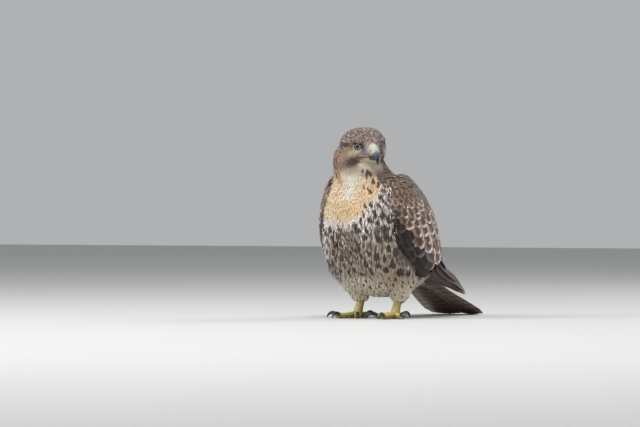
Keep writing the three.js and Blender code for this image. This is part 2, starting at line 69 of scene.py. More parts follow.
# %% [markdown]
# Small helpers come next. Colours are written as they look on a screen and turned into the linear
# values that a renderer adds up. Soft steps between two values draw every marking on the bird.

# %% Colours and smooth steps
def linear(red, green, blue):
    """A screen colour, 0 to 255, as linear light."""
    shown = np.array([red, green, blue], float) / 255
    return np.where(shown <= 0.04045, shown / 12.92, ((shown + 0.055) / 1.055) ** 2.4)


def step(low, high, value):
    """0 below low, 1 above high, and smooth between; the other way round if low is the larger."""
    t = np.clip((np.asarray(value, float) - low) / (high - low), 0, 1)
    return t * t * (3 - 2 * t)


def hill(value, middle, width):
    """1 at the middle, falling away on both sides."""
    return np.exp(-(((np.asarray(value, float) - middle) / width) ** 2))


def mix(first, second, share):
    """Blend of two colours or numbers by a share for each point."""
    share = np.asarray(share, float)
    colours = np.shape(first)[-1:] == (3,) or np.shape(second)[-1:] == (3,)
    if colours and share.ndim:
        share = share[..., None]
    return np.asarray(first) * (1 - share) + np.asarray(second) * share


def unit(vectors):
    return vectors / np.maximum(np.linalg.norm(vectors, axis=-1, keepdims=True), 1e-12)


def dot(a, b):
    return np.sum(a * b, axis=-1)


def turns(count):
    """Angles once round a ring."""
    return np.linspace(0, 2 * np.pi, count, endpoint=False)


def sphere(polar, round_it):
    """Directions by their angle from the X axis and their angle round it."""
    x = np.cos(polar) + 0 * round_it
    return np.stack([x, np.sin(polar) * np.cos(round_it), np.sin(polar) * np.sin(round_it)], -1)


def tree_of(points):
    """A search tree that finds the points near a place."""
    tree = KDTree(len(points))
    for i, p in enumerate(points):
        tree.insert(p, i)
    tree.balance()
    return tree


# %% [markdown]
# Each piece is one mesh, filled from whole arrays, which is quick enough for many thousand feathers.
# Rings of points make tubes, such as a toe or a bill, and both their ends are closed.

# %% Meshes from arrays
def new_piece(name, points, faces, material, smooth=True):
    """A mesh object from points in metres and a list of face arrays, each of one size."""
    mesh = bpy.data.meshes.new(name)
    faces = [np.asarray(f, np.int32) for f in faces if len(f)]
    loops = np.concatenate([f.reshape(-1) for f in faces])
    sizes = np.concatenate([np.full(len(f), f.shape[1], np.int32) for f in faces])
    mesh.vertices.add(len(points))
    mesh.vertices.foreach_set("co", np.asarray(points, np.float32).reshape(-1))
    mesh.loops.add(len(loops))
    mesh.loops.foreach_set("vertex_index", loops)
    mesh.polygons.add(len(sizes))
    mesh.polygons.foreach_set("loop_start", np.concatenate([[0], np.cumsum(sizes)[:-1]]).astype(np.int32))
    mesh.polygons.foreach_set("loop_total", sizes)
    mesh.polygons.foreach_set("use_smooth", np.full(len(sizes), smooth))
    mesh.update(calc_edges=True)
    mesh.validate()
    piece = bpy.data.objects.new(name, mesh)
    bpy.context.scene.collection.objects.link(piece)
    if material:
        mesh.materials.append(material)
    return piece


def give_vectors(piece, name, values):
    layer = piece.data.attributes.new(name, "FLOAT_VECTOR", "POINT")
    layer.data.foreach_set("vector", np.asarray(values, np.float32).reshape(-1))


def give_colours(piece, name, colours, strength=None):
    colours = np.asarray(colours, float).reshape(-1, 3)
    alpha = np.ones(len(colours)) if strength is None else np.asarray(strength, float).reshape(-1)
    layer = piece.data.attributes.new(name, "FLOAT_COLOR", "POINT")
    layer.data.foreach_set("color", np.column_stack([colours, alpha]).astype(np.float32).reshape(-1))


def give_unwrap(piece, places):
    """A UV map from one place for each vertex."""
    corner = np.zeros(len(piece.data.loops), np.int32)
    piece.data.loops.foreach_get("vertex_index", corner)
    layer = piece.data.uv_layers.new(name="OFBake")
    layer.data.foreach_set("uv", np.asarray(places, np.float32)[corner].reshape(-1))


def grid_faces(rows, columns, closed):
    """Quads of a grid of points, with its columns joined in a ring if closed."""
    across = columns if closed else columns - 1
    r = np.arange(rows - 1)[:, None]
    k = np.arange(across)[None, :]
    after = (k + 1) % columns
    quads = np.stack(np.broadcast_arrays(r * columns + k, r * columns + after,
                                         (r + 1) * columns + after, (r + 1) * columns + k), -1)
    return quads.reshape(-1, 4)


def tube_faces(rows, columns):
    """A ringed tube with both ends closed by fans round an extra middle point each."""
    first = rows * columns
    k = np.arange(columns)
    after = (k + 1) % columns
    start = np.stack([after, k, np.full(columns, first)], -1)
    last = (rows - 1) * columns
    end = np.stack([last + k, last + after, np.full(columns, first + 1)], -1)
    return [grid_faces(rows, columns, True), np.concatenate([start, end])]


def tube_points(rings):
    """The points of rings (rows, columns, 3), with the two end middles added."""
    flat = rings.reshape(-1, 3)
    return np.concatenate([flat, [rings[0].mean(0)], [rings[-1].mean(0)]])


def tube_piece(name, rings, material):
    """A closed tube of its own from rings in the bird's millimetres."""
    piece = new_piece(name, metres(tube_points(rings)), tube_faces(*rings.shape[:2]), material)
    print(name, len(piece.data.polygons), "faces")
    return piece


# %% [markdown]
# The bird's form is a set of named tables in millimetres: sections of the body, the wings, the
# head, the bill and the legs. They are the sizes that the solids were cut from, so the skin and
# each feather can be set on them without any fitting.

# %% The tables of the form
TO_FRAME = np.array([0.0707, -81.4768, 0.0])


def metres(points):
    """From the bird's own millimetres to the frame's metres."""
    return (np.asarray(points, float) + TO_FRAME) / 1000


def millimetres(points):
    return np.asarray(points, float) * 1000 - TO_FRAME


HEAD_YAW = math.radians(51)
HEAD_PITCH = math.radians(1)
HEAD_ROLL = math.radians(3.5)
HEAD_AT = np.array([18, -56.5, 257])

# height, middle sideways and front to back, half width, depth, rise towards the face
BODY = np.array([
    [34, 0, 12, 14, 18, 0], [42, 0, 11, 38, 35, 0], [54, 0, 9, 59, 52, 0], [68, 0, 6, 75, 62, 0],
    [86, 0, 3, 82, 69.5, 0], [104, 0, 1, 83, 73, 0], [126, 0, -4, 84, 73, 0], [148, 0, -10, 81, 70, 0],
    [168, 0, -16, 75, 66, 0], [186, 0, -20, 66, 60, 0], [202, 0, -27, 55.5, 53.5, 0],
    [218, -1, -41, 44.5, 44.5, .08], [232, -3, -47.5, 40, 39.5, .26], [243, -4.5, -49, 36, 35.5, .34],
    [252, -4, -48.5, 30.5, 30, .36], [259, -2, -47.5, 21, 21, .36], [262, -1, -47, 9, 9, .36],
])
BODY_SQUARE = 2.35

# y, z, lean, half width, back, belly, edges of the feathered patch
WING = np.array([
    [-26, 213, 6, 57, 40, 46, 62, 118], [-18, 189, 8, 73, 55, 56, 42, 136],
    [-9, 158, 11, 86, 66, 64, 27, 142], [2, 124, 16, 90, 71, 66, 19, 141],
    [20, 94, 30, 87, 64, 58, 14, 134], [54, 74, 52, 78, 42, 44, 12, 127],
    [104, 61, 68, 62, 25, 25, 11, 120], [164, 52, 74, 39, 15, 14, 12, 112],
    [232, 34, 76, 19, 8, 8, 16, 106],
])
WING_SQUARE = 2.2
WING_CORE_END = 4.75

# x, middle, half width, top, bottom, in the head's own frame
HEAD = np.array([
    [-49, -2, 9, 6, -12], [-44, -2.5, 23, 18, -24], [-32, -3, 32.5, 26, -32], [-18, -2.5, 34.5, 28.8, -34],
    [-6, -1, 31.5, 28.2, -32], [4, 0, 26.5, 25, -28], [12, 0, 20, 17.8, -24.5], [18, 0, 13.6, 10.2, -21],
    [22.5, 0, 8.6, 5, -18.4],
])
HEAD_SQUARE = 2.4
# x, y, height, half width, half depth
THIGH = np.array([
    [42, -8, 96, 30, 34], [44, -7, 76, 30, 34], [42, -4, 60, 26, 30], [38, 1, 46, 19, 22],
    [35, 3.5, 36, 14.5, 15.5], [34, 4.5, 27, 11.5, 12],
])


def between(rows, place):
    """A table read between its rows on a smooth curve through them."""
    rows = np.asarray(rows, float)
    place = np.asarray(place, float)
    low = np.clip(np.floor(place).astype(int), 0, len(rows) - 2)
    t = (place - low)[..., None]
    a = rows[np.maximum(low - 1, 0)]
    b = rows[low]
    c = rows[low + 1]
    d = rows[np.minimum(low + 2, len(rows) - 1)]
    return 0.5 * (2 * b + (c - a) * t + (2 * a - 5 * b + 4 * c - d) * t**2 + (3 * b - 3 * c + d - a) * t**3)


def squared(value, exponent):
    """sin or cos with its size raised, which squares off an ellipse."""
    return np.sign(value) * np.abs(value) ** (2 / exponent)


def body_point(s, angle, grow=0.0):
    row = between(BODY, s)
    z, mid_x, mid_y, half, deep, rise = np.moveaxis(row, -1, 0)
    x = (half + grow) * squared(np.sin(angle), BODY_SQUARE)
    y = -(deep + grow) * squared(np.cos(angle), BODY_SQUARE)
    ahead = x * math.sin(HEAD_YAW) - y * math.cos(HEAD_YAW)
    return np.stack([mid_x + x, mid_y + y, z - rise * ahead], -1)


def wing_point(s, angle, lift=0.0):
    row = between(WING, s)
    y, z, lean, half, back, belly = np.moveaxis(row, -1, 0)[:6]
    tilt = np.radians(lean)
    out = (np.where(np.cos(angle) > 0, back, belly) + lift) * squared(np.cos(angle), WING_SQUARE)
    x = (half + lift) * squared(np.sin(angle), WING_SQUARE)
    return np.stack([x, y + out * np.cos(tilt), z + out * np.sin(tilt)], -1)


def wing_angle(s, v):
    row = between(WING, s)
    return np.radians(row[..., 6] * (1 - v) + row[..., 7] * v)


head_matrix = (Matrix.Translation(Vector(HEAD_AT)) @ Matrix.Rotation(HEAD_YAW - math.pi / 2, 4, "Z")
               @ Matrix.Rotation(HEAD_PITCH, 4, "Y") @ Matrix.Rotation(HEAD_ROLL, 4, "X"))
HEAD_TURN = np.array(head_matrix.to_3x3())


def head_point(points):
    """From the head's own frame to the bird's."""
    return np.asarray(points, float) @ HEAD_TURN.T + HEAD_AT


def in_head(points):
    return (np.asarray(points, float) - HEAD_AT) @ HEAD_TURN


TAIL_ROOT = np.array([0, 60, 80])
TAIL_SLOPE = math.radians(24.1)


def tail_point(along, out, up):
    c, s = math.cos(TAIL_SLOPE), math.sin(TAIL_SLOPE)
    along, out, up = np.broadcast_arrays(along, out, up)
    return TAIL_ROOT + np.stack([out, along * c + up * s, up * c - along * s], -1)


def tail_height(points):
    """How high points lie over the plane of the tail."""
    away = np.asarray(points, float) - TAIL_ROOT
    return away[..., 1] * math.sin(TAIL_SLOPE) + away[..., 2] * math.cos(TAIL_SLOPE)


print("body height", BODY[-1][0] - BODY[0][0], "mm, head at", HEAD_AT)

# %% [markdown]
# The skin is one seamless surface under the coat. Each form is drawn a little smaller than its
# solid, by the depth of the feathers over it, as a sculptor lays lumps of clay together before
# blending them.

# %% Forms of the skin
COAT_BODY = 5.0
COAT_NECK = 3.0
COAT_HEAD = 2.0
COAT_THIGH = 3.5
EYE_AT = np.array([2, 12.4, 0])
EYE_RADIUS = 9.7
EYE_TURN = math.radians(50)
ORBIT_OUT = 14
ORBIT_SIZE = np.array([9.2, 11.5, 8.4])
BROW_AT = np.array([6.0, 20.8, 8.2])
BROW_SIZE = np.array([12.2, 3.9, 2.9])
BROW_TURN = 0.42
BROW_TIP = 0.2

# distance along the tail's line, half width, top, bottom
RUMP = np.array([
    [-16, 20, 12, -16], [0, 27, 13, -20], [22, 27, 11, -17], [46, 23, 8, -10], [66, 17, 4.5, -4],
])


def eye_axes(side):
    """The eye's own directions in the head's frame: out of the eye, forwards along the cheek, up."""
    out = np.array([math.cos(EYE_TURN), side * math.sin(EYE_TURN), 0])
    ahead = np.array([math.sin(EYE_TURN), -side * math.cos(EYE_TURN), 0])
    return out, ahead, np.array([0, 0, 1.0])


def hollow(points, side):
    """Pushes points of the head's frame back to the wall of the hollow round one eye."""
    out, ahead, up = eye_axes(side)
    middle = EYE_AT * [1, side, 1] + out * ORBIT_OUT
    away = points - middle
    a, b, c = (away @ d for d in (out, ahead, up))
    rest = 1 - (b / ORBIT_SIZE[1]) ** 2 - (c / ORBIT_SIZE[2]) ** 2
    wall = -ORBIT_SIZE[0] * np.sqrt(np.clip(rest, 0, 1))
    move = np.where((rest > 0) & (a > wall), wall - a, 0)
    return points + move[:, None] * out


def coat_depth(z):
    """How deep the coat is over the body and the neck, by height."""
    return mix(COAT_BODY, COAT_NECK, step(206, 236, z))


def body_form():
    s = np.linspace(0, len(BODY) - 1, 90)[:, None]
    angle = turns(120)[None, :]
    depth = coat_depth(between(BODY, s)[..., 0])
    return body_point(s + 0 * angle, angle + 0 * s, -depth)


def head_form():
    s = np.linspace(0, len(HEAD) - 1, 80)
    angle = turns(96)
    x, mid, half, top, bottom = (v[:, None] for v in between(HEAD, s).T)
    depth = mix(COAT_HEAD, 0.8, step(4, 18, x))
    y = mid + (half - depth) * squared(np.cos(angle), HEAD_SQUARE)
    z = (top + bottom) / 2 + ((top - bottom) / 2 - depth) * squared(np.sin(angle), HEAD_SQUARE)
    x = x - depth * step(12, 22, x) + depth * step(-40, -49, x) + 0 * y
    points = np.stack([x, y, z], -1).reshape(-1, 3)
    for side in (-1, 1):
        points = hollow(points, side)
    return head_point(points).reshape(len(s), len(angle), 3)


def brow_form(side):
    """An egg-shaped ridge over the eye."""
    polar = np.linspace(0.12, math.pi - 0.12, 16)[:, None]
    points = sphere(polar, turns(20)[None, :]) * BROW_SIZE * [-1, 1, 1]
    turn = np.array(Matrix.Rotation(-side * BROW_TURN, 3, "Z") @ Matrix.Rotation(BROW_TIP, 3, "Y"))
    return head_point(points @ turn.T + BROW_AT * [1, side, 1])


def thigh_form(side):
    s = np.linspace(0, len(THIGH) - 1, 30)[:, None]
    angle = turns(40)[None, :]
    x, y, z, wide, deep = np.moveaxis(between(THIGH, s + 0 * angle), -1, 0)
    depth = mix(COAT_THIGH, 1.6, step(48, 28, z))
    return np.stack([side * (x + (wide - depth) * np.cos(angle)), y + (deep - depth) * np.sin(angle), z], -1)


def wing_form(side):
    s = np.linspace(0.15, WING_CORE_END, 60)[:, None]
    v = np.linspace(0, 1, 40)[None, :]
    end = step(3.3, WING_CORE_END, s)
    angle = wing_angle(s + 0 * v, v + 0 * s)
    top = wing_point(s + 0 * v, angle, -1 - 8 * end * (0.35 + 0.65 * v))
    under = wing_point(s + 0 * v, angle, -15 * (1 - end) - 12 * end + 0 * v)
    return np.concatenate([top, under[:, ::-1]], 1) * [side, 1, 1]


def rump_form():
    s = np.linspace(0, len(RUMP) - 1, 30)[:, None]
    angle = turns(40)[None, :]
    along, half, top, low = np.moveaxis(between(RUMP, s + 0 * angle), -1, 0)
    up = (top + low) / 2 + ((top - low) / 2 - 1) * np.sin(angle)
    return tail_point(along, (half - 1) * np.cos(angle), up)


# %% [markdown]
# The forms are laid into each other and melted into one closed surface. A little smoothing then
# takes away the steps that the voxels leave.

# %% One skin from all the forms
def outward(rings):
    """The rings with their order turned round if their faces look inwards."""
    faces = grid_faces(*rings.shape[:2], True)
    flat = rings.reshape(-1, 3)
    a, b, c = (flat[faces[:, k]] for k in range(3))
    volume = dot(a - flat.mean(0), np.cross(b - a, c - a)).sum()
    return rings if volume > 0 else rings[:, ::-1]


def melt(name, forms, voxel, rounds):
    """One closed mesh from overlapping tubes, by a voxel remesh and a little smoothing."""
    points, quads, fans, start = [], [], [], 0
    for rings in forms:
        rings = outward(rings)
        q, f = tube_faces(*rings.shape[:2])
        points.append(tube_points(rings))
        quads.append(q + start)
        fans.append(f + start)
        start += len(points[-1])
    faces = [np.concatenate(quads), np.concatenate(fans)]
    lump = new_piece(name, metres(np.concatenate(points)), faces, None)
    remesh = lump.modifiers.new("melt", "REMESH")
    remesh.mode = "VOXEL"
    remesh.voxel_size = voxel
    soften = lump.modifiers.new("soften", "SMOOTH")
    soften.factor = 0.5
    soften.iterations = rounds
    made = bpy.data.meshes.new_from_object(lump.evaluated_get(bpy.context.evaluated_depsgraph_get()))
    lump.modifiers.clear()
    lump.data = made
    made.polygons.foreach_set("use_smooth", np.ones(len(made.polygons), bool))
    return lump


forms = [body_form(), head_form(), rump_form()]
for side in (-1, 1):
    forms += [brow_form(side), thigh_form(side), wing_form(side)]
skin = melt("skin", forms, 0.0017, 5)
print("skin:", len(skin.data.polygons), "faces")

# %% [markdown]
# The skin is unwrapped once. Every small feather later takes the spot of its own root on this
# unwrap, so that its colours have a place of their own when the finishes are baked.

# %% Unwrap of the skin
bpy.context.view_layer.objects.active = skin
skin.select_set(True)
bpy.ops.object.mode_set(mode="EDIT")
bpy.ops.mesh.select_all(action="SELECT")
bpy.ops.uv.smart_project(angle_limit=math.radians(70), island_margin=0.002)
bpy.ops.object.mode_set(mode="OBJECT")
skin.select_set(False)
skin.data.uv_layers[0].name = "OFBake"


def read(items, key, kind, width):
    """One value of every item, as an array."""
    values = np.zeros(len(items) * width, kind)
    items.foreach_get(key, values)
    return values.reshape(-1, width).squeeze()


def arrays_of(mesh):
    """Points, their normals, the triangles and the triangles' corners on the unwrap, as arrays."""
    mesh.calc_loop_triangles()
    points = read(mesh.vertices, "co", np.float32, 3)
    normals = read(mesh.vertex_normals, "vector", np.float32, 3)
    corners = read(mesh.loop_triangles, "loops", np.int32, 3)
    vertex = read(mesh.loops, "vertex_index", np.int32, 1)
    places = read(mesh.uv_layers[0].data, "uv", np.float32, 2)
    return points.astype(float), normals.astype(float), vertex[corners], places[corners]


skin_points, skin_normals, skin_triangles, skin_places = arrays_of(skin.data)
skin_tree = BVHTree.FromPolygons([Vector(p) for p in skin_points], skin_triangles.tolist())
print("unwrap:", skin_places.reshape(-1, 2).min(0).round(3), skin_places.reshape(-1, 2).max(0).round(3))


def on_skin(points):
    """The nearest places on the skin to points in metres: place, smooth normal, spot on the unwrap."""
    found = [skin_tree.find_nearest(Vector(p)) for p in points]
    place = np.array([tuple(f[0]) for f in found])
    triangle = np.array([f[2] for f in found])
    corners = skin_points[skin_triangles[triangle]]
    a, b, c = corners[:, 0], corners[:, 1], corners[:, 2]
    across = np.cross(b - a, c - a)
    size = np.maximum(dot(across, across), 1e-20)
    wb = np.clip(dot(np.cross(place - a, c - a), across) / size, 0, 1)
    wc = np.clip(dot(np.cross(b - a, place - a), across) / size, 0, 1)
    share = np.stack([1 - wb - wc, wb, wc], -1)[..., None]
    normal = unit((skin_normals[skin_triangles[triangle]] * share).sum(1))
    return place, normal, (skin_places[triangle] * share).sum(1)


# %% [markdown]
# Feathers grow in a direction, the lie of the coat. Here it is one field over the whole bird:
# away from the bill on the head, and then down the neck and the body.

# %% The lie of the coat
def body_middle(z):
    """The middle of the body at a height, sideways and front to back."""
    heights, sideways, front_to_back = BODY[:14, :3].T
    return np.interp(z, heights, sideways), np.interp(z, heights, front_to_back)


def round_angle(points):
    """Degrees round the body, 0 at the breast and positive on the bird's left."""
    x, y, z = points.T
    mid_x, mid_y = body_middle(z)
    return np.degrees(np.arctan2(x - mid_x, -(y - mid_y)))


BILL_ROOT = np.array([24, 0, -8])


def lie_at(points, normals):
    """The direction in which feathers lie at points of the bird's own frame."""
    head = in_head(points)
    from_bill = unit((head - BILL_ROOT) * [1, 0.9, 0.9]) + [-0.35, 0, -0.1]
    on_head = unit(from_bill) @ HEAD_TURN.T
    x, y, z = points.T
    low = step(70, 40, z)
    behind = step(0, 60, y)
    angle = round_angle(points)
    swept = hill(angle, -8, 17) * step(84, 100, z) * step(146, 132, z)
    down = np.stack([0.10 * x / 80 + 0.65 * swept, 0.10 + 0.9 * low + 0.5 * behind, -1 + 0.3 * low], -1)
    share = step(222, 250, z + 0.25 * (y + 50))
    lie = mix(unit(down), on_head, share)
    for side in (-1, 1):
        out, ahead, up = eye_axes(side)
        away = head - EYE_AT * [1, side, 1]
        flat = away - np.outer(away @ out, out)
        radial = np.linalg.norm(flat, axis=1)
        near = step(15, 9.5, radial) * step(0, 3, away @ out) * (1 - 0.75 * step(2, 6, away @ up))
        lie = mix(lie, unit(flat) @ HEAD_TURN.T, 0.85 * near)
    lie = lie - normals * dot(lie, normals)[:, None]
    return unit(lie)


# %% [markdown]
# Feathers stand evenly, and none on top of another. Roots that fall at random and clear the room
# round themselves keep that evenness without a visible grid.

# %% Spread roots over the skin
def spread(spacing_at, keep_at, tries, seed):
    """Evenly spaced roots on the skin: a dart falls at random and clears the room round itself."""
    random = np.random.default_rng(seed)
    a, b, c = (skin_points[skin_triangles[:, k]] for k in range(3))
    area = np.linalg.norm(np.cross(b - a, c - a), axis=1)
    chosen = random.choice(len(area), tries, p=area / area.sum())
    first = np.sqrt(random.random(tries))
    second = random.random(tries)
    u, v, w = (share[:, None] for share in (1 - first, first * (1 - second), first * second))
    points = a[chosen] * u + b[chosen] * v + c[chosen] * w
    points = points[keep_at(millimetres(points))]
    room = spacing_at(millimetres(points)) / 1000
    tree = tree_of(points)
    free = np.ones(len(points), bool)
    kept = []
    for i, p in enumerate(points):
        if not free[i]:
            continue
        kept.append(i)
        for _, j, _ in tree.find_range(p, room[i]):
            free[j] = False
    return points[kept]


# %% [markdown]
# A feather is a thin vane: a ridge along its shaft, two webs that fall away to thin edges, and a
# keel beneath that closes it. Its tip is frayed. All vanes of a coat piece are made in one go
# from arrays, one row of the array for each feather.

# %% Vanes
ACROSS = {
    3: np.array([-1, 0, 1.0]),
    5: np.array([-1, -0.5, 0, 0.5, 1]),
    7: np.array([-1, -0.66, -0.33, 0, 0.33, 0.66, 1]),
}
BODY_SHAPE = np.array([0.22, 0.62, 0.86, 0.98, 1, 0.94, 0.76, 0.34])
COVERT_SHAPE = np.array([0.3, 0.55, 0.75, 0.9, 0.98, 1, 1, 0.97, 0.88, 0.70, 0.30])
PATCH = 0.003


def vane_faces(count, rows, columns):
    ring = columns + 1
    quads = grid_faces(rows, ring, True)
    j = np.arange(columns - 1)
    keel = np.full(columns - 1, columns)
    last = (rows - 1) * ring
    start = np.stack([j + 1, j, keel], -1)
    end = np.stack([last + j, last + j + 1, last + keel], -1)
    caps = np.concatenate([start, end])
    shift = (np.arange(count) * rows * ring)[:, None, None]
    return [(quads[None] + shift).reshape(-1, 4), (caps[None] + shift).reshape(-1, 3)]


def vanes(name, shaft, up, half, height, spots, looks, material, columns, camber, thick, fray, seed,
          own_patches=False):
    """One piece of many feathers. shaft and up are (feathers, rows, 3) in millimetres and directions;
    half and height are (feathers, rows) in millimetres; looks holds one colour or number a feather."""
    random = np.random.default_rng(seed)
    count, rows = half.shape
    c = ACROSS[columns]
    at_rim = np.abs(c) > 0.9
    along = unit(np.gradient(shaft, axis=1))
    side = unit(np.cross(along, up))
    reach = np.linalg.norm(np.diff(shaft, axis=1), axis=-1).sum(1)[:, None, None]
    t = np.linspace(0, 1, rows)
    wide = half[:, :, None] * c
    drop = camber * np.abs(wide) ** 1.5 / np.maximum(half.max(1), 0.1)[:, None, None] ** 0.5
    tear = fray * reach * step(0.45, 1, t)[None, :, None] * random.random((count, 1, columns))
    tear = tear + 0.35 * fray * reach * random.random((count, rows, columns)) * at_rim
    wide = wide * (1 - fray * 1.2 * random.random((count, rows, columns)) * at_rim)
    lift = height[:, :, None] - drop
    top = (shaft[:, :, None] + up[:, :, None] * lift[..., None] + side[:, :, None] * wide[..., None]
           - along[:, :, None] * tear[..., None])
    body = thick * (1 - 0.65 * t)[None, :, None]
    keel = shaft + up * (height[..., None] - body) - along * tear.mean(2)[..., None] * 1.1
    points = np.concatenate([top, keel[:, :, None]], 2)
    piece = new_piece(name, metres(points.reshape(-1, 3)), vane_faces(count, rows, columns), material)
    cc = np.broadcast_to(np.append(c, 0.0), (count, rows, columns + 1))
    tt = np.broadcast_to(t[None, :, None], cc.shape)
    luck = np.broadcast_to(random.random(count)[:, None, None], cc.shape)
    give_vectors(piece, "vane", np.stack([tt, cc, luck], -1))
    web = half.max(1)[:, None, None] * cc
    give_vectors(piece, "grain", np.stack([tt * reach, web, luck * 100], -1))
    each = rows * (columns + 1)
    for key in ("ground", "mark", "rim"):
        colour, strength = looks[key]
        if np.ndim(colour) == 3:
            give_colours(piece, key, np.repeat(colour.reshape(-1, 3), columns + 1, 0))
        else:
            give_colours(piece, key, np.repeat(colour, each, 0), np.repeat(strength, each))
    give_vectors(piece, "form", np.repeat(looks["form"], each, 0))
    u = np.clip(spots[:, :1, None] + PATCH * cc / 2, 0, 1)
    v = np.clip(spots[:, 1:, None] + PATCH * (tt - 0.5), 0, 1)
    if own_patches:
        tall = max(1, int(math.sqrt(count / 6)))
        per_row = math.ceil(count / tall)
        k = np.arange(count)[:, None, None]
        u = (k % per_row + 0.08 + 0.42 * (cc + 1)) / per_row
        v = (k // per_row + 0.04 + 0.92 * tt) / tall
    give_unwrap(piece, np.stack([u, v], -1).reshape(-1, 2))
    print(name, count, "feathers,", len(piece.data.loops) - 2 * len(piece.data.polygons), "triangles")
    return piece


def grow_along(roots, length, rows, turn):
    """Shafts that creep over the skin from their roots with the lie of the coat."""
    place, normal, spots = on_skin(roots)
    shafts, ups = [place], [normal]
    for _ in range(rows - 1):
        lie = lie_at(millimetres(place), normal)
        aside = np.cross(normal, lie)
        heading = unit(lie + aside * turn[:, None])
        ahead = place + heading * (length / (rows - 1) / 1000)[:, None]
        place, normal, _ = on_skin(ahead)
        normal = unit(normal + 0.6 * ups[-1])
        shafts.append(place)
        ups.append(normal)
    return millimetres(np.stack(shafts, 1)), np.stack(ups, 1), spots


def half_widths(width, shape, rows):
    """Half the width of each feather at each of its rows."""
    return width[:, None] / 2 * np.interp(np.linspace(0, 1, rows), np.linspace(0, 1, len(shape)), shape)


def plain_looks(colour):
    """Looks of feathers without marks, from a colour for each feather or for each of its rows."""
    count = len(colour)
    none = (np.zeros((count, 3)), np.zeros(count))
    return {"ground": (colour, np.ones(count)), "mark": none, "rim": none, "form": np.full((count, 3), 0.5)}


def marked_looks(ground, mark, rim_colour, rim, form):
    """Looks of broad feathers with a dark mark and a rim; mark and rim say how strong they are."""
    count = len(ground)
    return {"ground": (ground, np.ones(count)), "mark": (np.tile(SEPIA, (count, 1)), np.full(count, mark)),
            "rim": (np.broadcast_to(rim_colour, (count, 3)), np.broadcast_to(rim, count)),
            "form": np.broadcast_to(form, (count, 3))}


# %% [markdown]
# The markings are worked out once, as a set of soft regions on the body and the head. The skin
# asks for its colour there, and so does each feather, which also learns whether it has a dark
# drop or streak, and how pale its edge is.

# %% Palette
PALE = linear(255, 246, 228)
BUFF = linear(252, 224, 184)
DEEP_BUFF = linear(248, 208, 156)
WHITE = linear(226, 214, 204)
SNOW = linear(250, 244, 236)
GREY_DOWN = linear(206, 202, 204)
SHADE_GREY = linear(126, 109, 95)
WARM_DOWN = linear(226, 211, 192)
BROWN = linear(110, 89, 80)
MID_BROWN = linear(132, 108, 94)
CROWN = linear(108, 87, 81)
LILAC = linear(212, 196, 190)
EYE_LINE = linear(44, 28, 16)
SEPIA = linear(56, 44, 42)
UMBER = linear(76, 57, 50)
RUFOUS = linear(172, 112, 82)
OLIVE = linear(122, 104, 72)
TAN = linear(200, 162, 130)
CHEEK = linear(170, 141, 113)
MALAR = linear(64, 46, 47)
LORE = linear(166, 156, 160)
CHIN = linear(236, 220, 196)
LEG_CREAM = linear(252, 240, 218)

def paint(base, *layers):
    """Colours laid over a base one after another, each by its own share."""
    for colour, share in layers:
        base = mix(base, colour, share)
    return base


def towards(sizes, others, share):
    """Sizes of marks, moved towards other sizes by a share."""
    return [mix(old, new, share) for old, new in zip(sizes, others)]


# %% [markdown]
# The head has a dark crown, a line behind the eye, a dark patch at the jaw and a pale chin. Bare
# pale skin shows between the eye and the bill. All of it is drawn in the head's own frame, so it
# turns with the head.

# %% Markings of the head
def face_looks(head):
    """Colour of the face, strength and colour of its marks and of its fringes, and the marks' sizes."""
    x, y, z = head.T
    upper = step(-3, 8, z)
    nape = step(-14, -30, x)
    jaw = 0.31 * x - 0.95 * np.abs(y)
    chin = step(-15.5, -18, z) * step(-22, -12, jaw)
    ragged = 0.28 * np.sin(x * 0.9 + z * 1.3) + 0.2 * np.sin(y * 1.4 - z * 0.8 + 1)
    from_patch = np.hypot((jaw + 23) / 15, (z + 21.5 - 0.25 * (jaw + 23)) / 7.0) + 0.45 * ragged
    malar = step(1.4, 0.4, from_patch) * step(-12.5, -16, z)
    line = hill(z, 3.6 - 0.05 * (x + 6), 3.9) * step(2, -4, x) * step(-34, -16, x)
    brow = hill(z, 8.6, 1.7) * step(-24, -12, x) * step(8, 1, x)
    shadow = hill(z, 6.3, 1.5) * step(-9, -4, x) * step(17, 13, x)
    under_eye = hill(z, -9, 3) * step(16, 10, x) * step(-8, 0, x)
    lore = step(9, 12, x) * step(5, 1, z) * step(-15, -10, z)
    forehead = step(14.5, 17.5, x) * step(3, 7, z)
    colour = paint(
        CHEEK,
        (CROWN, upper),
        (MID_BROWN, 0.7 * step(-6, -20, x) * step(-24, -8, z) * (1 - upper)),
        (TAN, 0.2 * nape * step(4, -18, z)),
        (CHIN, chin),
        (MALAR, malar * 0.92),
        (RUFOUS, 0.4 * hill(x, -24, 8) * hill(z, -16, 6)),
        (EYE_LINE, line * 0.95),
        (CHEEK, brow * 0.8),
        (SEPIA, shadow * 0.95),
        (CHIN, under_eye * 0.6),
        (LORE, lore),
        (LORE, 0.3 * forehead))
    mark = np.clip(0.7 * upper + 0.5 * step(-4, -14, x) + 0.27, 0, 0.85) * (1 - 0.8 * chin)
    mark_colour = mix(UMBER, SEPIA, 0.3 * upper)
    fringe = (0.75 * upper + 0.45 * nape) * (1 - line)
    fringe_colour = paint(TAN, (RUFOUS, 0.2 + 0.5 * nape), (LILAC, 0.8 * upper * step(-22, -6, x)))
    sizes = towards((4.6, 4.2, 1.3), (3.1, 2.7, 0.8), step(-14, 8, x))
    return colour, mark, mark_colour, fringe, fringe_colour, sizes


# %% [markdown]
# The body is mapped by height and by the angle round it: a buff bib with a ragged lower edge, a
# belly of dark drops, long streaks on the flank, cream legs, and a brown back.

# %% Markings of the whole bird
BIB_EDGE = ((-180, -90, -57, -35, -18, -3, 8, 18, 25, 30, 40, 52, 90, 180),
            (165, 160, 152, 147, 141, 144, 151, 157, 162, 172, 182, 204, 240, 240))


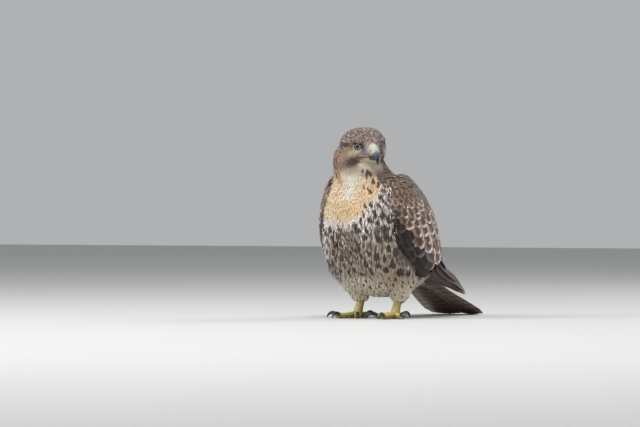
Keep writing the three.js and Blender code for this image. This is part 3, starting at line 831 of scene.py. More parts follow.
def plumage(points):
    """What the coat looks like at points of the bird's own frame."""
    z, angle = points[:, 2], round_angle(points)
    head = in_head(points)
    face, face_mark, face_mark_colour, face_fringe, face_fringe_colour, face_sizes = face_looks(head)
    side = np.abs(angle)
    from_throat = np.abs(angle - 8)
    # the regions, each 1 where it holds
    ripple = np.sin(angle * 0.21 + 1.3) * 2 + np.sin(angle * 0.53) * 2
    edge = np.interp(angle, *BIB_EDGE) + ripple
    bib = step(edge - 6, edge + 5, z)
    deep = np.maximum(hill(z, 160, 20) * hill(angle, 2, 24), hill(z, 190, 9) * hill(angle, 34, 12))
    stripe_at = np.interp(z, (180, 200, 226), (-6, 2, 10))
    stripe = hill(angle, stripe_at, np.interp(z, (190, 222), (10, 22))) * step(168, 184, z)
    blotch = np.sin(angle * 0.16 + z * 0.11 + 2) * np.sin(z * 0.17 - angle * 0.07 + 1)
    blotch = step(0.1, 0.9, blotch + 0.5 * np.sin(angle * 0.31 - z * 0.05))
    belly = step(edge + 1, edge - 8, z)
    near_edge = hill(z, edge - 6, 8) * step(30, 10, angle)
    flank = step(-44, -56, angle) * step(190, 172, z)
    downy = hill(angle, 55, 8) * hill(z, 172, 16)
    olive = hill(angle, -7, 15) * step(78, 90, z) * step(142, 130, z)
    # Painted shade on the belly's side next to the wing's edge, where the wing shades it.
    painted_wing_shade = step(48, 57, angle) * step(162, 146, z) * step(76, 90, z)
    hind = step(10, 26, points[:, 1])
    leg = np.maximum(step(72, 56, z), hind * step(96, 84, z))
    collar = step(186, 198, z) * step(238, 230, z) * step(26, 38, angle) * step(80, 66, angle)
    nape_side = step(200, 214, z) * step(-14, -28, angle)
    necklace = step(208, 214, z) * step(240, 232, z) * step(20, 30, angle) * step(68, 56, angle)
    brown_from = 84 - 34 * step(182, 206, z)
    under_tail = hind * step(4, -8, tail_height(points)) * step(96, 84, z)
    back = step(brown_from, brown_from + 16, side) * (1 - under_tail)
    neck = step(214, 232, z + 8 * step(60, 100, side))
    throat = neck * step(34, 24, from_throat)
    from_middle = np.linalg.norm(head + [6, 0, 0], axis=1)
    on_head = step(mix(-46, -37, throat), mix(-30, -27, throat), head[:, 2]) * step(62, 52, from_middle)
    # colours between the marks
    neck_ground = paint(PALE, (CHEEK, step(28, 54, np.abs(angle - 6))), (MID_BROWN, step(64, 100, side)))
    # SHADE_GREY is painted shade: the belly greys towards the bottom, and in blotches below the bib.
    ground = paint(
        WHITE,
        (SHADE_GREY, 0.8 * step(138, 100, z)),
        (SNOW, 0.98 * step(-28, -42, angle) * step(70, 100, z)),
        (BUFF, bib * 0.97),
        (DEEP_BUFF, bib * 0.8 * deep),
        (PALE, np.clip(stripe * 1.2, 0, 1)),
        (SNOW, hill(z, edge - 4, 6) * 0.7),
        (SHADE_GREY, 0.6 * blotch * step(edge - 4, edge - 20, z) * step(-48, -34, angle)),
        (GREY_DOWN, downy * 0.9),
        (OLIVE, olive * 0.7),
        (UMBER, 0.8 * painted_wing_shade),
        (LEG_CREAM, leg * 0.9),
        (TAN, hill(z, 62, 12) * hill(angle, 52, 22) * 0.8),
        (CHEEK, 0.4 * np.maximum(0.4 * collar, nape_side)),
        (BROWN, back),
        (neck_ground, neck),
        (BROWN, 0.55 * necklace),
        (face, on_head))
    # the marks, and the fringes round them
    mark = np.clip(np.maximum(belly, flank), 0, 1) * (1 - 0.5 * downy)
    mark = np.maximum(mark, nape_side * 0.95) * (1 - back) + 0.4 * back
    mark = mix(mark, 0.9 * step(24, 38, from_throat), neck)
    mark = mark * (1 - 0.35 * flank) * (1 - 0.7 * collar)
    mark = mix(mark, face_mark, on_head)
    mark_colour = paint(UMBER, (OLIVE, olive * 0.35), (RUFOUS, 0.3 * step(180, 200, z)),
                        (face_mark_colour, np.maximum(on_head, neck)))
    fringe = (0.7 * np.clip(belly + flank, 0, 1) * (1 - 0.8 * leg) + 0.2 * olive) * (1 - 0.8 * painted_wing_shade)
    fringe = mix(mix(fringe, 0.5 * step(40, 80, side), neck), face_fringe, on_head)
    fringe_colour = paint(SNOW, (PALE, np.maximum(step(140, 180, z), olive)), (WARM_DOWN, step(142, 112, z)),
                          (TAN, neck), (face_fringe_colour, on_head))
    # room of a mark, its half length and its half width
    sizes = [np.full(len(z), size) for size in (11.6, 6.6, 4.9)]
    for share, there in ((near_edge, (8.6, 6.2, 2.4)), (flank, (9.8, 8.6, 1.7)), (olive, (6.2, 9.5, 1.7)),
                         (np.maximum(collar, nape_side), (5.8, 6.8, 2.4)), (leg, (8.0, 3.2, 1.6)),
                         (neck, (5.6, 4.6, 1.7)), (on_head, face_sizes)):
        sizes = towards(sizes, there, np.clip(share, 0, 1))
    room, long, wide = sizes
    return dict(ground=ground, mark=mark, mark_colour=mark_colour, fringe=fringe, room=room, long=long,
                fringe_colour=fringe_colour, wide=wide, head=on_head, mantle=back * step(228, 214, z),
                leg=leg, bib=bib, downy=downy, neck=neck, throat=throat)


# %% [markdown]
# A finish is a small network of nodes. Each of these helpers places one node and joins it to the
# others, so that the finishes below read like plain sums.

# %% Small tools for shader nodes
def new_material(name):
    material = bpy.data.materials.new(name)
    material.use_nodes = True
    nodes = material.node_tree.nodes
    return material, material.node_tree, nodes["Principled BSDF"]


def add(tree, kind, **settings):
    node = tree.nodes.new(kind)
    for key, value in settings.items():
        setattr(node, key, value)
    return node


def link(source, target):
    source.id_data.links.new(source, target)


def give(socket, value):
    """Fills an input from another node's output, a number or a colour."""
    if isinstance(value, bpy.types.NodeSocket):
        link(value, socket)
    elif isinstance(value, (int, float)):
        socket.default_value = value
    else:
        socket.default_value = (*value, 1)


def sums(operation, *values):
    """A math node; its inputs are sockets or numbers."""
    tree = next(v.id_data for v in values if isinstance(v, bpy.types.NodeSocket))
    node = add(tree, "ShaderNodeMath", operation=operation)
    for socket, value in zip(node.inputs, values):
        give(socket, value)
    return node.outputs[0]


def plus(first, second):
    return sums("ADD", first, second)


def minus(first, second):
    return sums("SUBTRACT", first, second)


def times(first, second):
    return sums("MULTIPLY", first, second)


def ramp(value, low, high, first=0.0, last=1.0):
    """A map range node with smooth ends."""
    node = add(value.id_data, "ShaderNodeMapRange", interpolation_type="SMOOTHSTEP")
    inputs = {"Value": value, "From Min": low, "From Max": high, "To Min": first, "To Max": last}
    for key, number in inputs.items():
        give(node.inputs[key], number)
    return node.outputs["Result"]


def blend(share, first, second):
    """A colour mix; each input is a socket or a colour."""
    node = add(share.id_data, "ShaderNodeMix", data_type="RGBA")
    for key, value in ((0, share), (6, first), (7, second)):
        give(node.inputs[key], value)
    return node.outputs[2]


def split(vector):
    """The three numbers of a vector."""
    node = add(vector.id_data, "ShaderNodeSeparateXYZ")
    link(vector, node.inputs[0])
    return node.outputs


def join(*numbers):
    node = add(numbers[0].id_data, "ShaderNodeCombineXYZ")
    for socket, number in zip(node.inputs, numbers):
        link(number, socket)
    return node.outputs[0]


def clouds(tree, scale, detail=2.0, place=None):
    """Soft noise, from 0 to 1."""
    node = add(tree, "ShaderNodeTexNoise")
    node.inputs["Scale"].default_value = scale
    node.inputs["Detail"].default_value = detail
    if place is not None:
        link(place, node.inputs["Vector"])
    return node.outputs["Fac"]


def shaded(colour, value):
    """A colour made lighter or darker."""
    node = add(colour.id_data, "ShaderNodeHueSaturation")
    link(colour, node.inputs["Color"])
    link(value, node.inputs["Value"])
    return node.outputs[0]


def raise_surface(shader, height, strength, distance):
    """Relief from a height, finer than the mesh."""
    node = add(height.id_data, "ShaderNodeBump")
    node.inputs["Strength"].default_value = strength
    node.inputs["Distance"].default_value = distance
    link(height, node.inputs["Height"])
    link(node.outputs[0], shader.inputs["Normal"])


def new_group(name, inputs, outputs):
    group = bpy.data.node_groups.new(name, "ShaderNodeTree")
    for label, kind, value in inputs:
        socket = group.interface.new_socket(label, in_out="INPUT", socket_type=kind)
        if value is not None:
            socket.default_value = value
    for label, kind in outputs:
        group.interface.new_socket(label, in_out="OUTPUT", socket_type=kind)
    return group, group.nodes.new("NodeGroupInput").outputs, group.nodes.new("NodeGroupOutput").inputs


def use(tree, group, **values):
    node = add(tree, "ShaderNodeGroup", node_tree=group)
    for key, value in values.items():
        give(node.inputs[key.replace("_", " ")], value)
    return node.outputs


def attribute(tree, name):
    return add(tree, "ShaderNodeAttribute", attribute_name=name).outputs


# %% [markdown]
# The finish of a feather is built from shader groups, each with named sockets, so that every
# coat can use them with its own values. One group draws barbs, the fine slanted lines of a web.
# Another draws the marks: a dark drop near the tip, a pale edge and a thin shaft. The third draws
# the dark bars across a long feather.

# %% Groups: barbs and marks
NUMBER = "NodeSocketFloat"
VECTOR = "NodeSocketVector"

barbs, given, result = new_group(
    "Barbs",
    [("Grain", VECTOR, None), ("Slant", NUMBER, 0.8), ("Fineness", NUMBER, 2.0), ("Across", NUMBER, 0.15)],
    [("Streak", NUMBER), ("Height", NUMBER)])
along, across, luck = split(given["Grain"])
slanted = minus(along, times(sums("ABSOLUTE", across), given["Slant"]))
place = join(times(slanted, given["Fineness"]), times(across, given["Across"]), luck)
noise = clouds(barbs, 1.0, 3.0, place)
link(ramp(noise, 0.3, 0.7), result["Streak"])
link(noise, result["Height"])

marks, given, result = new_group(
    "Vane marks",
    [("Vane", VECTOR, None), ("Form", VECTOR, None), ("Streak", NUMBER, 0.5), ("Raggedness", NUMBER, 0.35),
     ("Rim width", NUMBER, 0.3), ("Short rim", NUMBER, 0.0)],
    [("Drop", NUMBER), ("Rim", NUMBER), ("Shaft", NUMBER)])
along, aside, luck = split(given["Vane"])
drop_at, drop_long, drop_wide = split(given["Form"])
across = sums("ABSOLUTE", aside)
rough = times(minus(given["Streak"], 0.5), given["Raggedness"])
reach = sums("DIVIDE", minus(along, drop_at), drop_long)
taper = plus(times(reach, 0.35), 0.8)
spread_out = sums("DIVIDE", across, times(drop_wide, taper))
far = sums("SQRT", plus(sums("POWER", sums("ABSOLUTE", reach), 2.0),
                        sums("POWER", sums("ABSOLUTE", spread_out), 2.0)))
link(ramp(plus(far, rough), 1.15, 0.8), result["Drop"])
tip = ramp(along, 0.62, 1.02)
edge = sums("MAXIMUM", sums("POWER", across, 1.6), sums("POWER", tip, 1.4))
inner = minus(1.0, given["Rim width"])
edging = ramp(plus(edge, times(rough, 0.5)), minus(inner, 0.12), plus(inner, 0.12))
begin = plus(times(luck, given["Short rim"]), times(minus(luck, 0.5), aside))
link(times(edging, ramp(minus(along, begin), -0.05, 0.1)), result["Rim"])
link(ramp(across, 0.10, 0.03), result["Shaft"])

bars, given, result = new_group(
    "Cross bars",
    [("Grain", VECTOR, None), ("Streak", NUMBER, 0.5), ("Period", NUMBER, 17.0), ("Share", NUMBER, 0.35)],
    [("Bar", NUMBER)])
along, across, _ = split(given["Grain"])
ragged = times(minus(given["Streak"], 0.5), 3.5)
bowed = times(sums("ABSOLUTE", across), 0.35)
far = sums("DIVIDE", minus(plus(along, ragged), bowed), given["Period"])
wave = sums("ABSOLUTE", minus(sums("FRACT", far), 0.5))
half_bar = times(given["Share"], 0.5)
link(ramp(wave, minus(half_bar, 0.05), plus(half_bar, 0.05), 1.0, 0.0), result["Bar"])
print("groups:", [g.name for g in bpy.data.node_groups])


# %% [markdown]
# All feathers share this finish, with values of their own: soft webs on the breast, close ones on
# the head, and crisp brown ones on the back and the wings. Their colours lie on the meshes.

# %% A feather finish
def feather_finish(name, fineness=2.2, slant=0.9, ragged=0.4, rim_width=0.3, shaft=0.4, streaks=0.25,
                   roughness=0.6, sheen=0.1, bump=0.25, across=0.15, period=0.0, bar_share=0.35,
                   bar_strength=0.35, short_rim=0.0):
    material, tree, shader = new_material(name)
    grain = attribute(tree, "grain")["Vector"]
    lines = use(tree, barbs, Grain=grain, Slant=slant, Fineness=fineness, Across=across)
    drawn = use(tree, marks, Vane=attribute(tree, "vane")["Vector"], Form=attribute(tree, "form")["Vector"],
                Streak=lines["Streak"], Raggedness=ragged, Rim_width=rim_width, Short_rim=short_rim)
    ground, mark, rim = (attribute(tree, key) for key in ("ground", "mark", "rim"))
    colour = blend(times(drawn["Drop"], mark["Alpha"]), ground["Color"], mark["Color"])
    if period:
        barred = use(tree, bars, Grain=grain, Streak=lines["Streak"], Period=period, Share=bar_share)
        colour = blend(times(barred["Bar"], bar_strength), colour, SEPIA)
    colour = blend(times(drawn["Rim"], rim["Alpha"]), colour, rim["Color"])
    streaked = shaded(colour, ramp(lines["Streak"], 0.0, 1.0, 1 - streaks, 1 + 0.35 * streaks))
    link(blend(times(drawn["Shaft"], shaft), streaked, SEPIA), shader.inputs["Base Color"])
    raise_surface(shader, lines["Height"], bump, 0.0004)
    shader.inputs["Roughness"].default_value = roughness
    shader.inputs["Sheen Weight"].default_value = sheen
    shader.inputs["Sheen Roughness"].default_value = 0.5
    shader.inputs["Specular IOR Level"].default_value = 0.3
    return material


soft_feathers = feather_finish("soft breast feathers", fineness=0.25, slant=0.2, ragged=0.0, shaft=0.0,
                               streaks=0.12, roughness=0.85, sheen=0.25, bump=0.15, across=3.0)
small_feathers = feather_finish("small head feathers", fineness=0.3, slant=0.2, ragged=0.0, shaft=0.0,
                                streaks=0.30, roughness=0.8, sheen=0.2, bump=0.35, across=3.5)
mantle_feathers = feather_finish("brown back feathers", ragged=0.5, rim_width=0.26, shaft=0.30, streaks=0.28,
                                 roughness=0.7, sheen=0.15)
wing_feathers = feather_finish("brown wing feathers", ragged=0.8, rim_width=0.33, streaks=0.32,
                               short_rim=1.1)
flight_finish = feather_finish("long wing feathers", rim_width=0.14, shaft=0.45, roughness=0.55, period=15.0)
print("finishes:", [m.name for m in bpy.data.materials])

# %% [markdown]
# Little of the skin shows between the tufts. It has the coat's own colours, downy, and darker with
# painted shade of the gaps, so that no gap looks bare.

# %% The skin's finish
def skin_finish():
    material, tree, shader = new_material("downy skin")
    noise = clouds(tree, 900.0, 4.0)
    ground = attribute(tree, "ground")["Color"]
    # The coat's colours, darkened as painted shade between the tufts.
    link(shaded(ground, ramp(noise, 0.3, 0.7, 0.66, 0.92)), shader.inputs["Base Color"])
    raise_surface(shader, noise, 0.4, 0.0008)
    shader.inputs["Roughness"].default_value = 0.9
    return material


# %% [markdown]
# The folded wings cover a part of the body. The soft coat has to end under their edges, or its
# tufts would stick out through them.

# %% Where the wings are
def near_wing(points):
    """How deep each point of the bird's own frame lies in the patch that the wing feathers cover."""
    deep = np.zeros(len(points))
    for side in (-1, 1):
        own = points * [side, 1, 1]
        order = -WING[:, 1] + 0.9 * np.maximum(WING[:, 0], 0)
        s = np.interp(-own[:, 2] + 0.9 * np.maximum(own[:, 1], 0), order, np.arange(len(WING)))
        for _ in range(3):
            row = between(WING, s)
            tilt = np.radians(row[:, 2])
            y, z = own[:, 1] - row[:, 0], own[:, 2] - row[:, 1]
            off = y * -np.sin(tilt) + z * np.cos(tilt)
            later = between(WING, s + 0.01)
            step_y, step_z = (later[:, 0] - row[:, 0]) * 100, (later[:, 1] - row[:, 1]) * 100
            rate = step_y * -np.sin(tilt) + step_z * np.cos(tilt)
            s = np.clip(s + np.clip(off / np.where(np.abs(rate) < 1, -1, rate), -0.5, 0.5), 0, len(WING) - 1)
        row = between(WING, s)
        tilt = np.radians(row[:, 2])
        out = (own[:, 1] - row[:, 0]) * np.cos(tilt) + (own[:, 2] - row[:, 1]) * np.sin(tilt)
        reach = np.where(out > 0, row[:, 4], row[:, 5])
        a = np.clip(out / reach, -1, 1)
        b = np.clip(own[:, 0] / row[:, 3], 0, 1)
        angle = np.degrees(np.arctan2(b ** (WING_SQUARE / 2), np.sign(a) * np.abs(a) ** (WING_SQUARE / 2)))
        size = (np.abs(a) ** WING_SQUARE + b ** WING_SQUARE) ** (1 / WING_SQUARE)
        inside = step(row[:, 6] - 1, row[:, 6] + 7, angle) * step(row[:, 7] + 1, row[:, 7] - 7, angle)
        on = step(0.86, 0.95, size) * (own[:, 0] > 0) * (s > 0.2) * (s < 5.6)
        deep = np.maximum(deep, inside * on)
    return deep


wing_share = near_wing(millimetres(skin_points))
print("skin under the wings:", round(float((wing_share > 0.5).mean()), 3))


# %% [markdown]
# Each visible feather of the underparts and the head is one cell of the coat: a dark drop or streak
# in a pale fringe. The cells are spread evenly, and every tuft takes its colour from the cell it
# lies in, so the edges of the marks are as soft and hairy as real webs.

# %% Cells of the coat
BILL_FROM = 16.5
BILL_HALF = 9.4
BILL_TOP = 6.0
BILL_BOTTOM = -20.5
EYE_LONG = 7.9
EYE_ABOVE = 4.9
EYE_BELOW = 6.4


def bare(points):
    """Where no feather grows: the eyes, the bill and the corner of the mouth."""
    head = in_head(points)
    x, y, z = head.T
    naked = (x > BILL_FROM) & (np.abs(y) < BILL_HALF) & (z < BILL_TOP) & (z > BILL_BOTTOM)
    for side in (-1, 1):
        out, ahead, up = eye_axes(side)
        away = head - EYE_AT * [1, side, 1]
        rise = away @ up
        reach = np.hypot((away @ ahead) / EYE_LONG, rise / np.where(rise > 0, EYE_ABOVE, EYE_BELOW))
        naked |= (reach < 1) & (away @ out > 0)
    return naked


def keep_cell(points):
    return (plumage(points)["mantle"] < 0.6) & (near_wing(points) < 0.6)


def cell_room(points):
    return plumage(points)["room"]


# height, angle round the body, half length, half width and lean of the bold drops beside the bib
DROPS = np.array([
    [218, 45, 5.6, 4.6, 0.5], [220, 33, 2.9, 1.4, 0], [207, 32, 5.8, 1.6, 0], [205, 41, 6.7, 3, 0],
    [203, 47, 6.3, 3.2, -0.2], [215, 67, 3.8, 2.9, 0.2], [204, 55, 4.7, 2.2, 0.3], [193, 29, 7.4, 2.8, 0.6],
    [196, 22, 3.4, 1.2, 0], [191, 49, 4.3, 3.4, 0.3], [182, 44, 4.7, 4.1, 0.2], [172, 48, 6.3, 3.1, 0.6],
    [168, 40, 6.9, 3.8, 0.7], [170, 30, 5.6, 3.4, 0.1], [168, 22, 5.2, 2.8, 0.5], [160, 26, 2.9, 2, 0.4],
    [155, 34, 7.2, 4.6, 0.2], [154, 44, 7.4, 5.3, 0.1], [154, 19, 5.6, 2.2, 0.1], [147, 27, 5.6, 4.8, 0.2],
    [146, 15, 7.2, 2.9, 0], [165, 52, 4, 3.1, 0.4], [142, 36, 4.9, 4.6, 0.2],
])
NEAR_DROP = 0.008
BREADTH = 70
CELL_DARTS = 70000


def round_places(z, angle):
    """Roots on the skin at heights and angles round the body."""
    a = np.radians(angle)
    mid_x, mid_y = body_middle(z)
    near = np.stack([mid_x + BREADTH * np.sin(a), mid_y - BREADTH * np.cos(a), z], -1)
    return on_skin(metres(near))[0]


drop_roots = round_places(DROPS[:, 0], DROPS[:, 1])
cell_roots = spread(cell_room, keep_cell, CELL_DARTS, 12)
apart = np.linalg.norm(cell_roots[:, None] - drop_roots, axis=2).min(1) > NEAR_DROP
cell_roots = np.concatenate([cell_roots[apart], drop_roots])
cell_at = millimetres(cell_roots)
_, cell_normal, _ = on_skin(cell_roots)
cell_lie = lie_at(cell_at, cell_normal)
cell_side = np.cross(cell_lie, cell_normal)
cell_looks = plumage(cell_at)
cell_luck = np.random.default_rng(13).normal(size=(len(cell_at), 4))
cell_long = cell_looks["long"] * np.clip(1 + 0.26 * cell_luck[:, 0], 0.5, 1.6)
cell_wide = cell_looks["wide"] * np.clip(1 + 0.32 * cell_luck[:, 1], 0.45, 1.7)
cell_mark = np.clip(cell_looks["mark"] * (1.05 + 0.2 * cell_luck[:, 2]), 0, 1)
cell_mark = np.where(cell_looks["mark"] < 0.25, 0, cell_mark)
bold = slice(len(cell_at) - len(DROPS), None)
cell_long[bold], cell_wide[bold], cell_mark[bold] = DROPS[:, 2], DROPS[:, 3], 1
cell_lean = 0.2 * cell_luck[:, 2]
cell_lean[bold] = DROPS[:, 4]
cell_tree = tree_of(cell_at)
print("cells:", len(cell_at))


def in_cell(points):
    """How far each point is from the middle of its cell, 1 at the mark's edge, and where it lies."""
    index = np.array([cell_tree.find(p)[1] for p in points])
    away = points - cell_at[index]
    down = dot(away, cell_lie[index])
    aside = dot(away, cell_side[index]) + cell_lean[index] * down
    taper = 0.82 + 0.28 * np.clip(down / cell_long[index], -1, 1)
    far = np.hypot(down / cell_long[index], aside / (cell_wide[index] * taper))
    return far, down, aside, index


def coat_colour(points, ragged=0.0):
    """The coat's colour at points, marks and fringes included."""
    looks = plumage(points)
    far, _, _, index = in_cell(points)
    far = far + ragged
    core = step(1.16, 0.80, far) * cell_mark[index]
    ring = step(0.85, 1.15, far) * step(2.0, 1.35, far) * looks["fringe"]
    tone = 1 + 0.05 * cell_luck[index, 3][:, None]
    colour = mix(looks["ground"] * tone, looks["fringe_colour"], ring)
    return mix(colour, looks["mark_colour"] * tone, core)


skin_colour = mix(coat_colour(millimetres(skin_points)), BROWN, wing_share)
give_colours(skin, "ground", skin_colour)
skin.data.materials.clear()
skin.data.materials.append(skin_finish())
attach(skin, "root")
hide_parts("torso", "neck", "head", "thigh_left", "thigh_right")

# %% [markdown]
# The soft coat grows in tufts, each a clump of barbs. Their roots are spread evenly over the skin,
# closer on the face than on the breast. In each cell they fan out a little from its middle and rise
# towards its lower end, which makes the soft relief of overlapping feathers.

# %% Tufts
TUFT_SHAPE = np.array([0.5, 0.95, 1, 0.85, 0.55, 0.1])
TUFT_ROWS = 6
TUFT_DARTS = 320000


def tuft_room(points):
    """Millimetres between the roots of tufts."""
    looks = plumage(points)
    room = mix(1.8, 1.85, looks["leg"])
    room = mix(room, 1.65, looks["neck"])
    face = step(-12, 14, in_head(points)[:, 0])
    return mix(room, mix(1.7, 1.2, face), looks["head"])


def tuft_length(points):
    looks = plumage(points)
    length = mix(13.0, 9.5, looks["neck"])
    length = mix(length, 8.0, looks["leg"])
    length = length + 5 * looks["downy"]
    face = step(-10, 14, in_head(points)[:, 0])
    return mix(length, mix(7.0, 3.2, face), looks["head"])


def coat_lift(points):
    """How high the tips stand over the skin."""
    z = points[:, 2]
    looks = plumage(points)
    lift = mix(coat_depth(z), 1.8, step(50, 30, z))
    on_head = mix(COAT_HEAD, 0.9, step(2, 18, in_head(points)[:, 0]))
    return mix(lift, on_head, looks["head"]) + 0.2


def tufts(name, roots, material, seed):
    random = np.random.default_rng(seed)
    own = millimetres(roots)
    count = len(own)
    looks = plumage(own)
    plain = np.maximum(looks["bib"], looks["throat"])
    length = tuft_length(own) * (0.8 + 0.4 * random.random(count))
    wide = tuft_room(own) * (1.3 + 0.5 * looks["bib"]) * (0.85 + 0.3 * random.random(count))
    _, normal, _ = on_skin(roots)
    ahead = own + lie_at(own, normal) * (0.6 * length)[:, None]
    _, down, aside, index = in_cell(ahead)
    calm = 1 - 0.9 * plain
    turn = random.normal(0, 0.09, count) * (0.4 + 0.6 * calm)
    turn = turn + np.clip(0.035 * aside, -0.25, 0.25) * (1 - looks["head"]) * calm
    shaft, up, spots = grow_along(roots, length, TUFT_ROWS, turn)
    t = np.linspace(0, 1, TUFT_ROWS)
    half = half_widths(wide, TUFT_SHAPE, TUFT_ROWS)
    smooth = 1 - 0.85 * plain
    relief = 0.86 + smooth * (0.22 * step(-1, 1, down / cell_long[index]) + 0.10 * random.normal(size=count))
    top = coat_lift(own) * np.clip(relief, 0.4, 1.35) * (1 - 0.3 * looks["bib"])
    height = -0.6 + (top[:, None] + 0.6) * t[None, :] ** 0.75
    ragged = np.repeat(0.15 * random.normal(size=count), TUFT_ROWS)
    shift = np.repeat(random.normal(0, 0.6, count) * (1 - 0.6 * looks["head"]), TUFT_ROWS)
    points = shaft.reshape(-1, 3)
    along = unit(np.gradient(shaft, axis=1)).reshape(-1, 3)
    colour = coat_colour(points + along * shift[:, None], ragged).reshape(count, TUFT_ROWS, 3)
    tone = 1 + (0.05 * smooth * random.normal(size=count))[:, None, None]
    root_shade = (0.22 * smooth)[:, None] * (1 - step(0.0, 0.5, t))[None, :]
    colour = colour * tone * (1 - root_shade)[..., None]
    silky = (1 - plain)[:, None, None]
    piece = vanes(name, shaft, up, half, height, spots, plain_looks(colour), material, 3, 0.05 + 0.2 * silky,
                  0.25 + 0.2 * silky, 0.05, seed)
    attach(piece, "root")


def keep_tuft(points):
    return (plumage(points)["mantle"] < 0.5) & (near_wing(points) < 0.4) & ~bare(points)


tuft_roots = spread(tuft_room, keep_tuft, TUFT_DARTS, 3)
own = millimetres(tuft_roots)
on_head = plumage(own)["head"] >= 0.5
height_of = own[:, 2]
tufts("head_coat", tuft_roots[on_head], small_feathers, 60)
# seed, name, lowest and highest root, kind of feathers
for seed, name, low, high, slot in (
        (61, "neck_coat", 196, 300, "brown_feathers"),
        (62, "breast_coat", 132, 196, "breast_feathers"),
        (63, "belly_coat", 84, 132, "breast_feathers"),
        (64, "vent_coat", 62, 84, "breast_feathers"),
        (65, "leg_coat", 0, 62, "breast_feathers")):
    chosen = ~on_head & (height_of >= low) & (height_of < high)
    tufts(name, tuft_roots[chosen], soft_feathers, seed)


# %% [markdown]
# Loose plumes stand out of the coat in two places: grey down beside the breast that curls over the
# wing's edge, and long white plumes on the other flank.

# %% Loose plumes
PLUME_SHAPE = np.array([0.25, 0.6, 0.9, 1, 1, 0.9, 0.7, 0.45, 0.12])
PLUME_ROWS = 9


def plumes(name, places, pale, length, width, sweep, lift, seed):
    """places are (z, angle) round the body; sweep turns each plume towards larger angles."""
    random = np.random.default_rng(seed)
    z, angle = places
    count = len(z)
    roots = round_places(z, angle)
    reach = length * (0.75 + 0.5 * random.random(count))
    shaft, up, spots = grow_along(roots, reach, PLUME_ROWS, sweep + 0.25 * random.normal(size=count))
    half = half_widths(width * (0.8 + 0.4 * random.random(count)), PLUME_SHAPE, PLUME_ROWS)
    t = np.linspace(0, 1, PLUME_ROWS)
    height = 1.0 + (lift * (0.7 + 0.6 * random.random(count)))[:, None] * t**1.4
    tone = 0.92 + 0.14 * random.random((count, 1))
    colour = mix(plumage(millimetres(roots))["ground"], pale, 0.6) * tone
    piece = vanes(name, shaft, up, half, height, spots, plain_looks(colour), soft_feathers, 5, 0.35, 0.4,
                  0.10, seed)
    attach(piece, "root")


places = np.random.default_rng(81)
down_at = (168 + 15 * places.normal(size=130), 49 + 4 * places.random(130))
flank_at = (118 + 30 * places.normal(size=110), -54 - 18 * places.random(110))
plumes("down_plumes", down_at, GREY_DOWN * 0.9, 15.0, 2.0, 0.5, 2.4, 82)
plumes("flank_plumes", flank_at, SNOW, 15.0, 2.2, 0.0, 2.0, 83)

# %% [markdown]
# The back and the shoulders carry broad brown feathers with pale edges, laid like tiles.

# %% Mantle
MANTLE_DARTS = 40000
MANTLE_ROWS = 8


def keep_mantle(points):
    return (plumage(points)["mantle"] >= 0.4) & (near_wing(points) < 0.85) & ~bare(points)


def mantle_room(points):
    return mix(7.2, 4.2, step(188, 226, points[:, 2]))


def mantle_coat(name, roots, rows, seed):
    random = np.random.default_rng(seed)
    own = millimetres(roots)
    count = len(own)
    room = mantle_room(own)
    length = room * 3.6 * (0.9 + 0.2 * random.random(count))
    wide = room * 2.1 * (0.9 + 0.2 * random.random(count))
    over = step(20, 34, np.abs(own[:, 0])) * step(214, 190, own[:, 2])
    outward_turn = -np.sign(own[:, 0]) * 0.30 * over
    length = length * (1 + 0.45 * over)
    wide = wide * (1 + 0.25 * over)
    shaft, up, spots = grow_along(roots, length, rows, random.normal(0, 0.08, count) + outward_turn)
    half = half_widths(wide, BODY_SHAPE, rows)
    top = coat_lift(own) * (0.85 + 0.3 * random.random(count)) * (1 - 0.3 * over)
    height = -0.8 + (top[:, None] + 0.8) * np.linspace(0, 1, rows) ** 0.8
    ground = BROWN * (1 + 0.10 * random.normal(size=(count, 1)))
    rim_colour = mix(TAN, WHITE, 0.5 * random.random(count))
    looks = marked_looks(ground, 0.6, rim_colour, 0.35 + 0.5 * random.random(count), (0.62, 0.45, 0.5))
    piece = vanes(name, shaft, up, half, height, spots, looks, mantle_feathers, 7, 0.25, 0.5, 0.05, seed)
    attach(piece, "root")


mantle_roots = spread(mantle_room, keep_mantle, MANTLE_DARTS, 21)
mantle_coat("mantle_coat", mantle_roots, MANTLE_ROWS, 22)

# %% [markdown]
# A folded wing shows its feathers in tiers, like a tiled roof: small coverts at the shoulder, larger
# ones below, and the long flight feathers under their edge. The tiers are laid on the wing's own
# surface, by how far along it and how far across it they lie.

# %% Wing feathers
def wing_vanes(name, side, v, s_root, s_tip, width, low, high, looks, rows, shape, material, camber, thick,
               fray, seed):
    """Feathers of one wing: v is how far across it they lie, and s how far along it they begin and end."""
    t = np.linspace(0, 1, rows)
    s = s_root[:, None] + (s_tip - s_root)[:, None] * t
    angle = wing_angle(s, v[:, None])
    shaft = wing_point(s, angle)
    fore = wing_point(s, angle + 0.02) - wing_point(s, angle - 0.02)
    up = unit(np.cross(np.gradient(shaft, axis=1), fore))
    middle = np.stack([np.zeros_like(s), between(WING, s)[..., 0], between(WING, s)[..., 1]], -1)
    up = up * np.sign(dot(up, shaft - middle))[..., None]
    flip = np.array([side, 1, 1])
    height = low[:, None] + (high - low)[:, None] * step(0, 0.7, t)
    _, _, spots = on_skin(metres(shaft[:, 0] * flip))
    piece = vanes(name, shaft * flip, up * flip, half_widths(width, shape, rows), height, spots, looks,
                  material, 7, camber, thick, fray, seed, own_patches=True)
    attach(piece, "root")
    return piece


def across_wing(s):
    """Length of the feathered patch across the wing, and of one section along it, in millimetres."""
    v = np.linspace(0, 1, 30)
    line = wing_point(np.full(30, s), wing_angle(np.full(30, s), v))
    later = wing_point(np.array([s + 0.1]), wing_angle(np.array([s]), np.array([0.5])))
    here = wing_point(np.array([s]), wing_angle(np.array([s]), np.array([0.5])))
    return np.linalg.norm(np.diff(line, axis=0), axis=1).sum(), np.linalg.norm(later - here) * 10


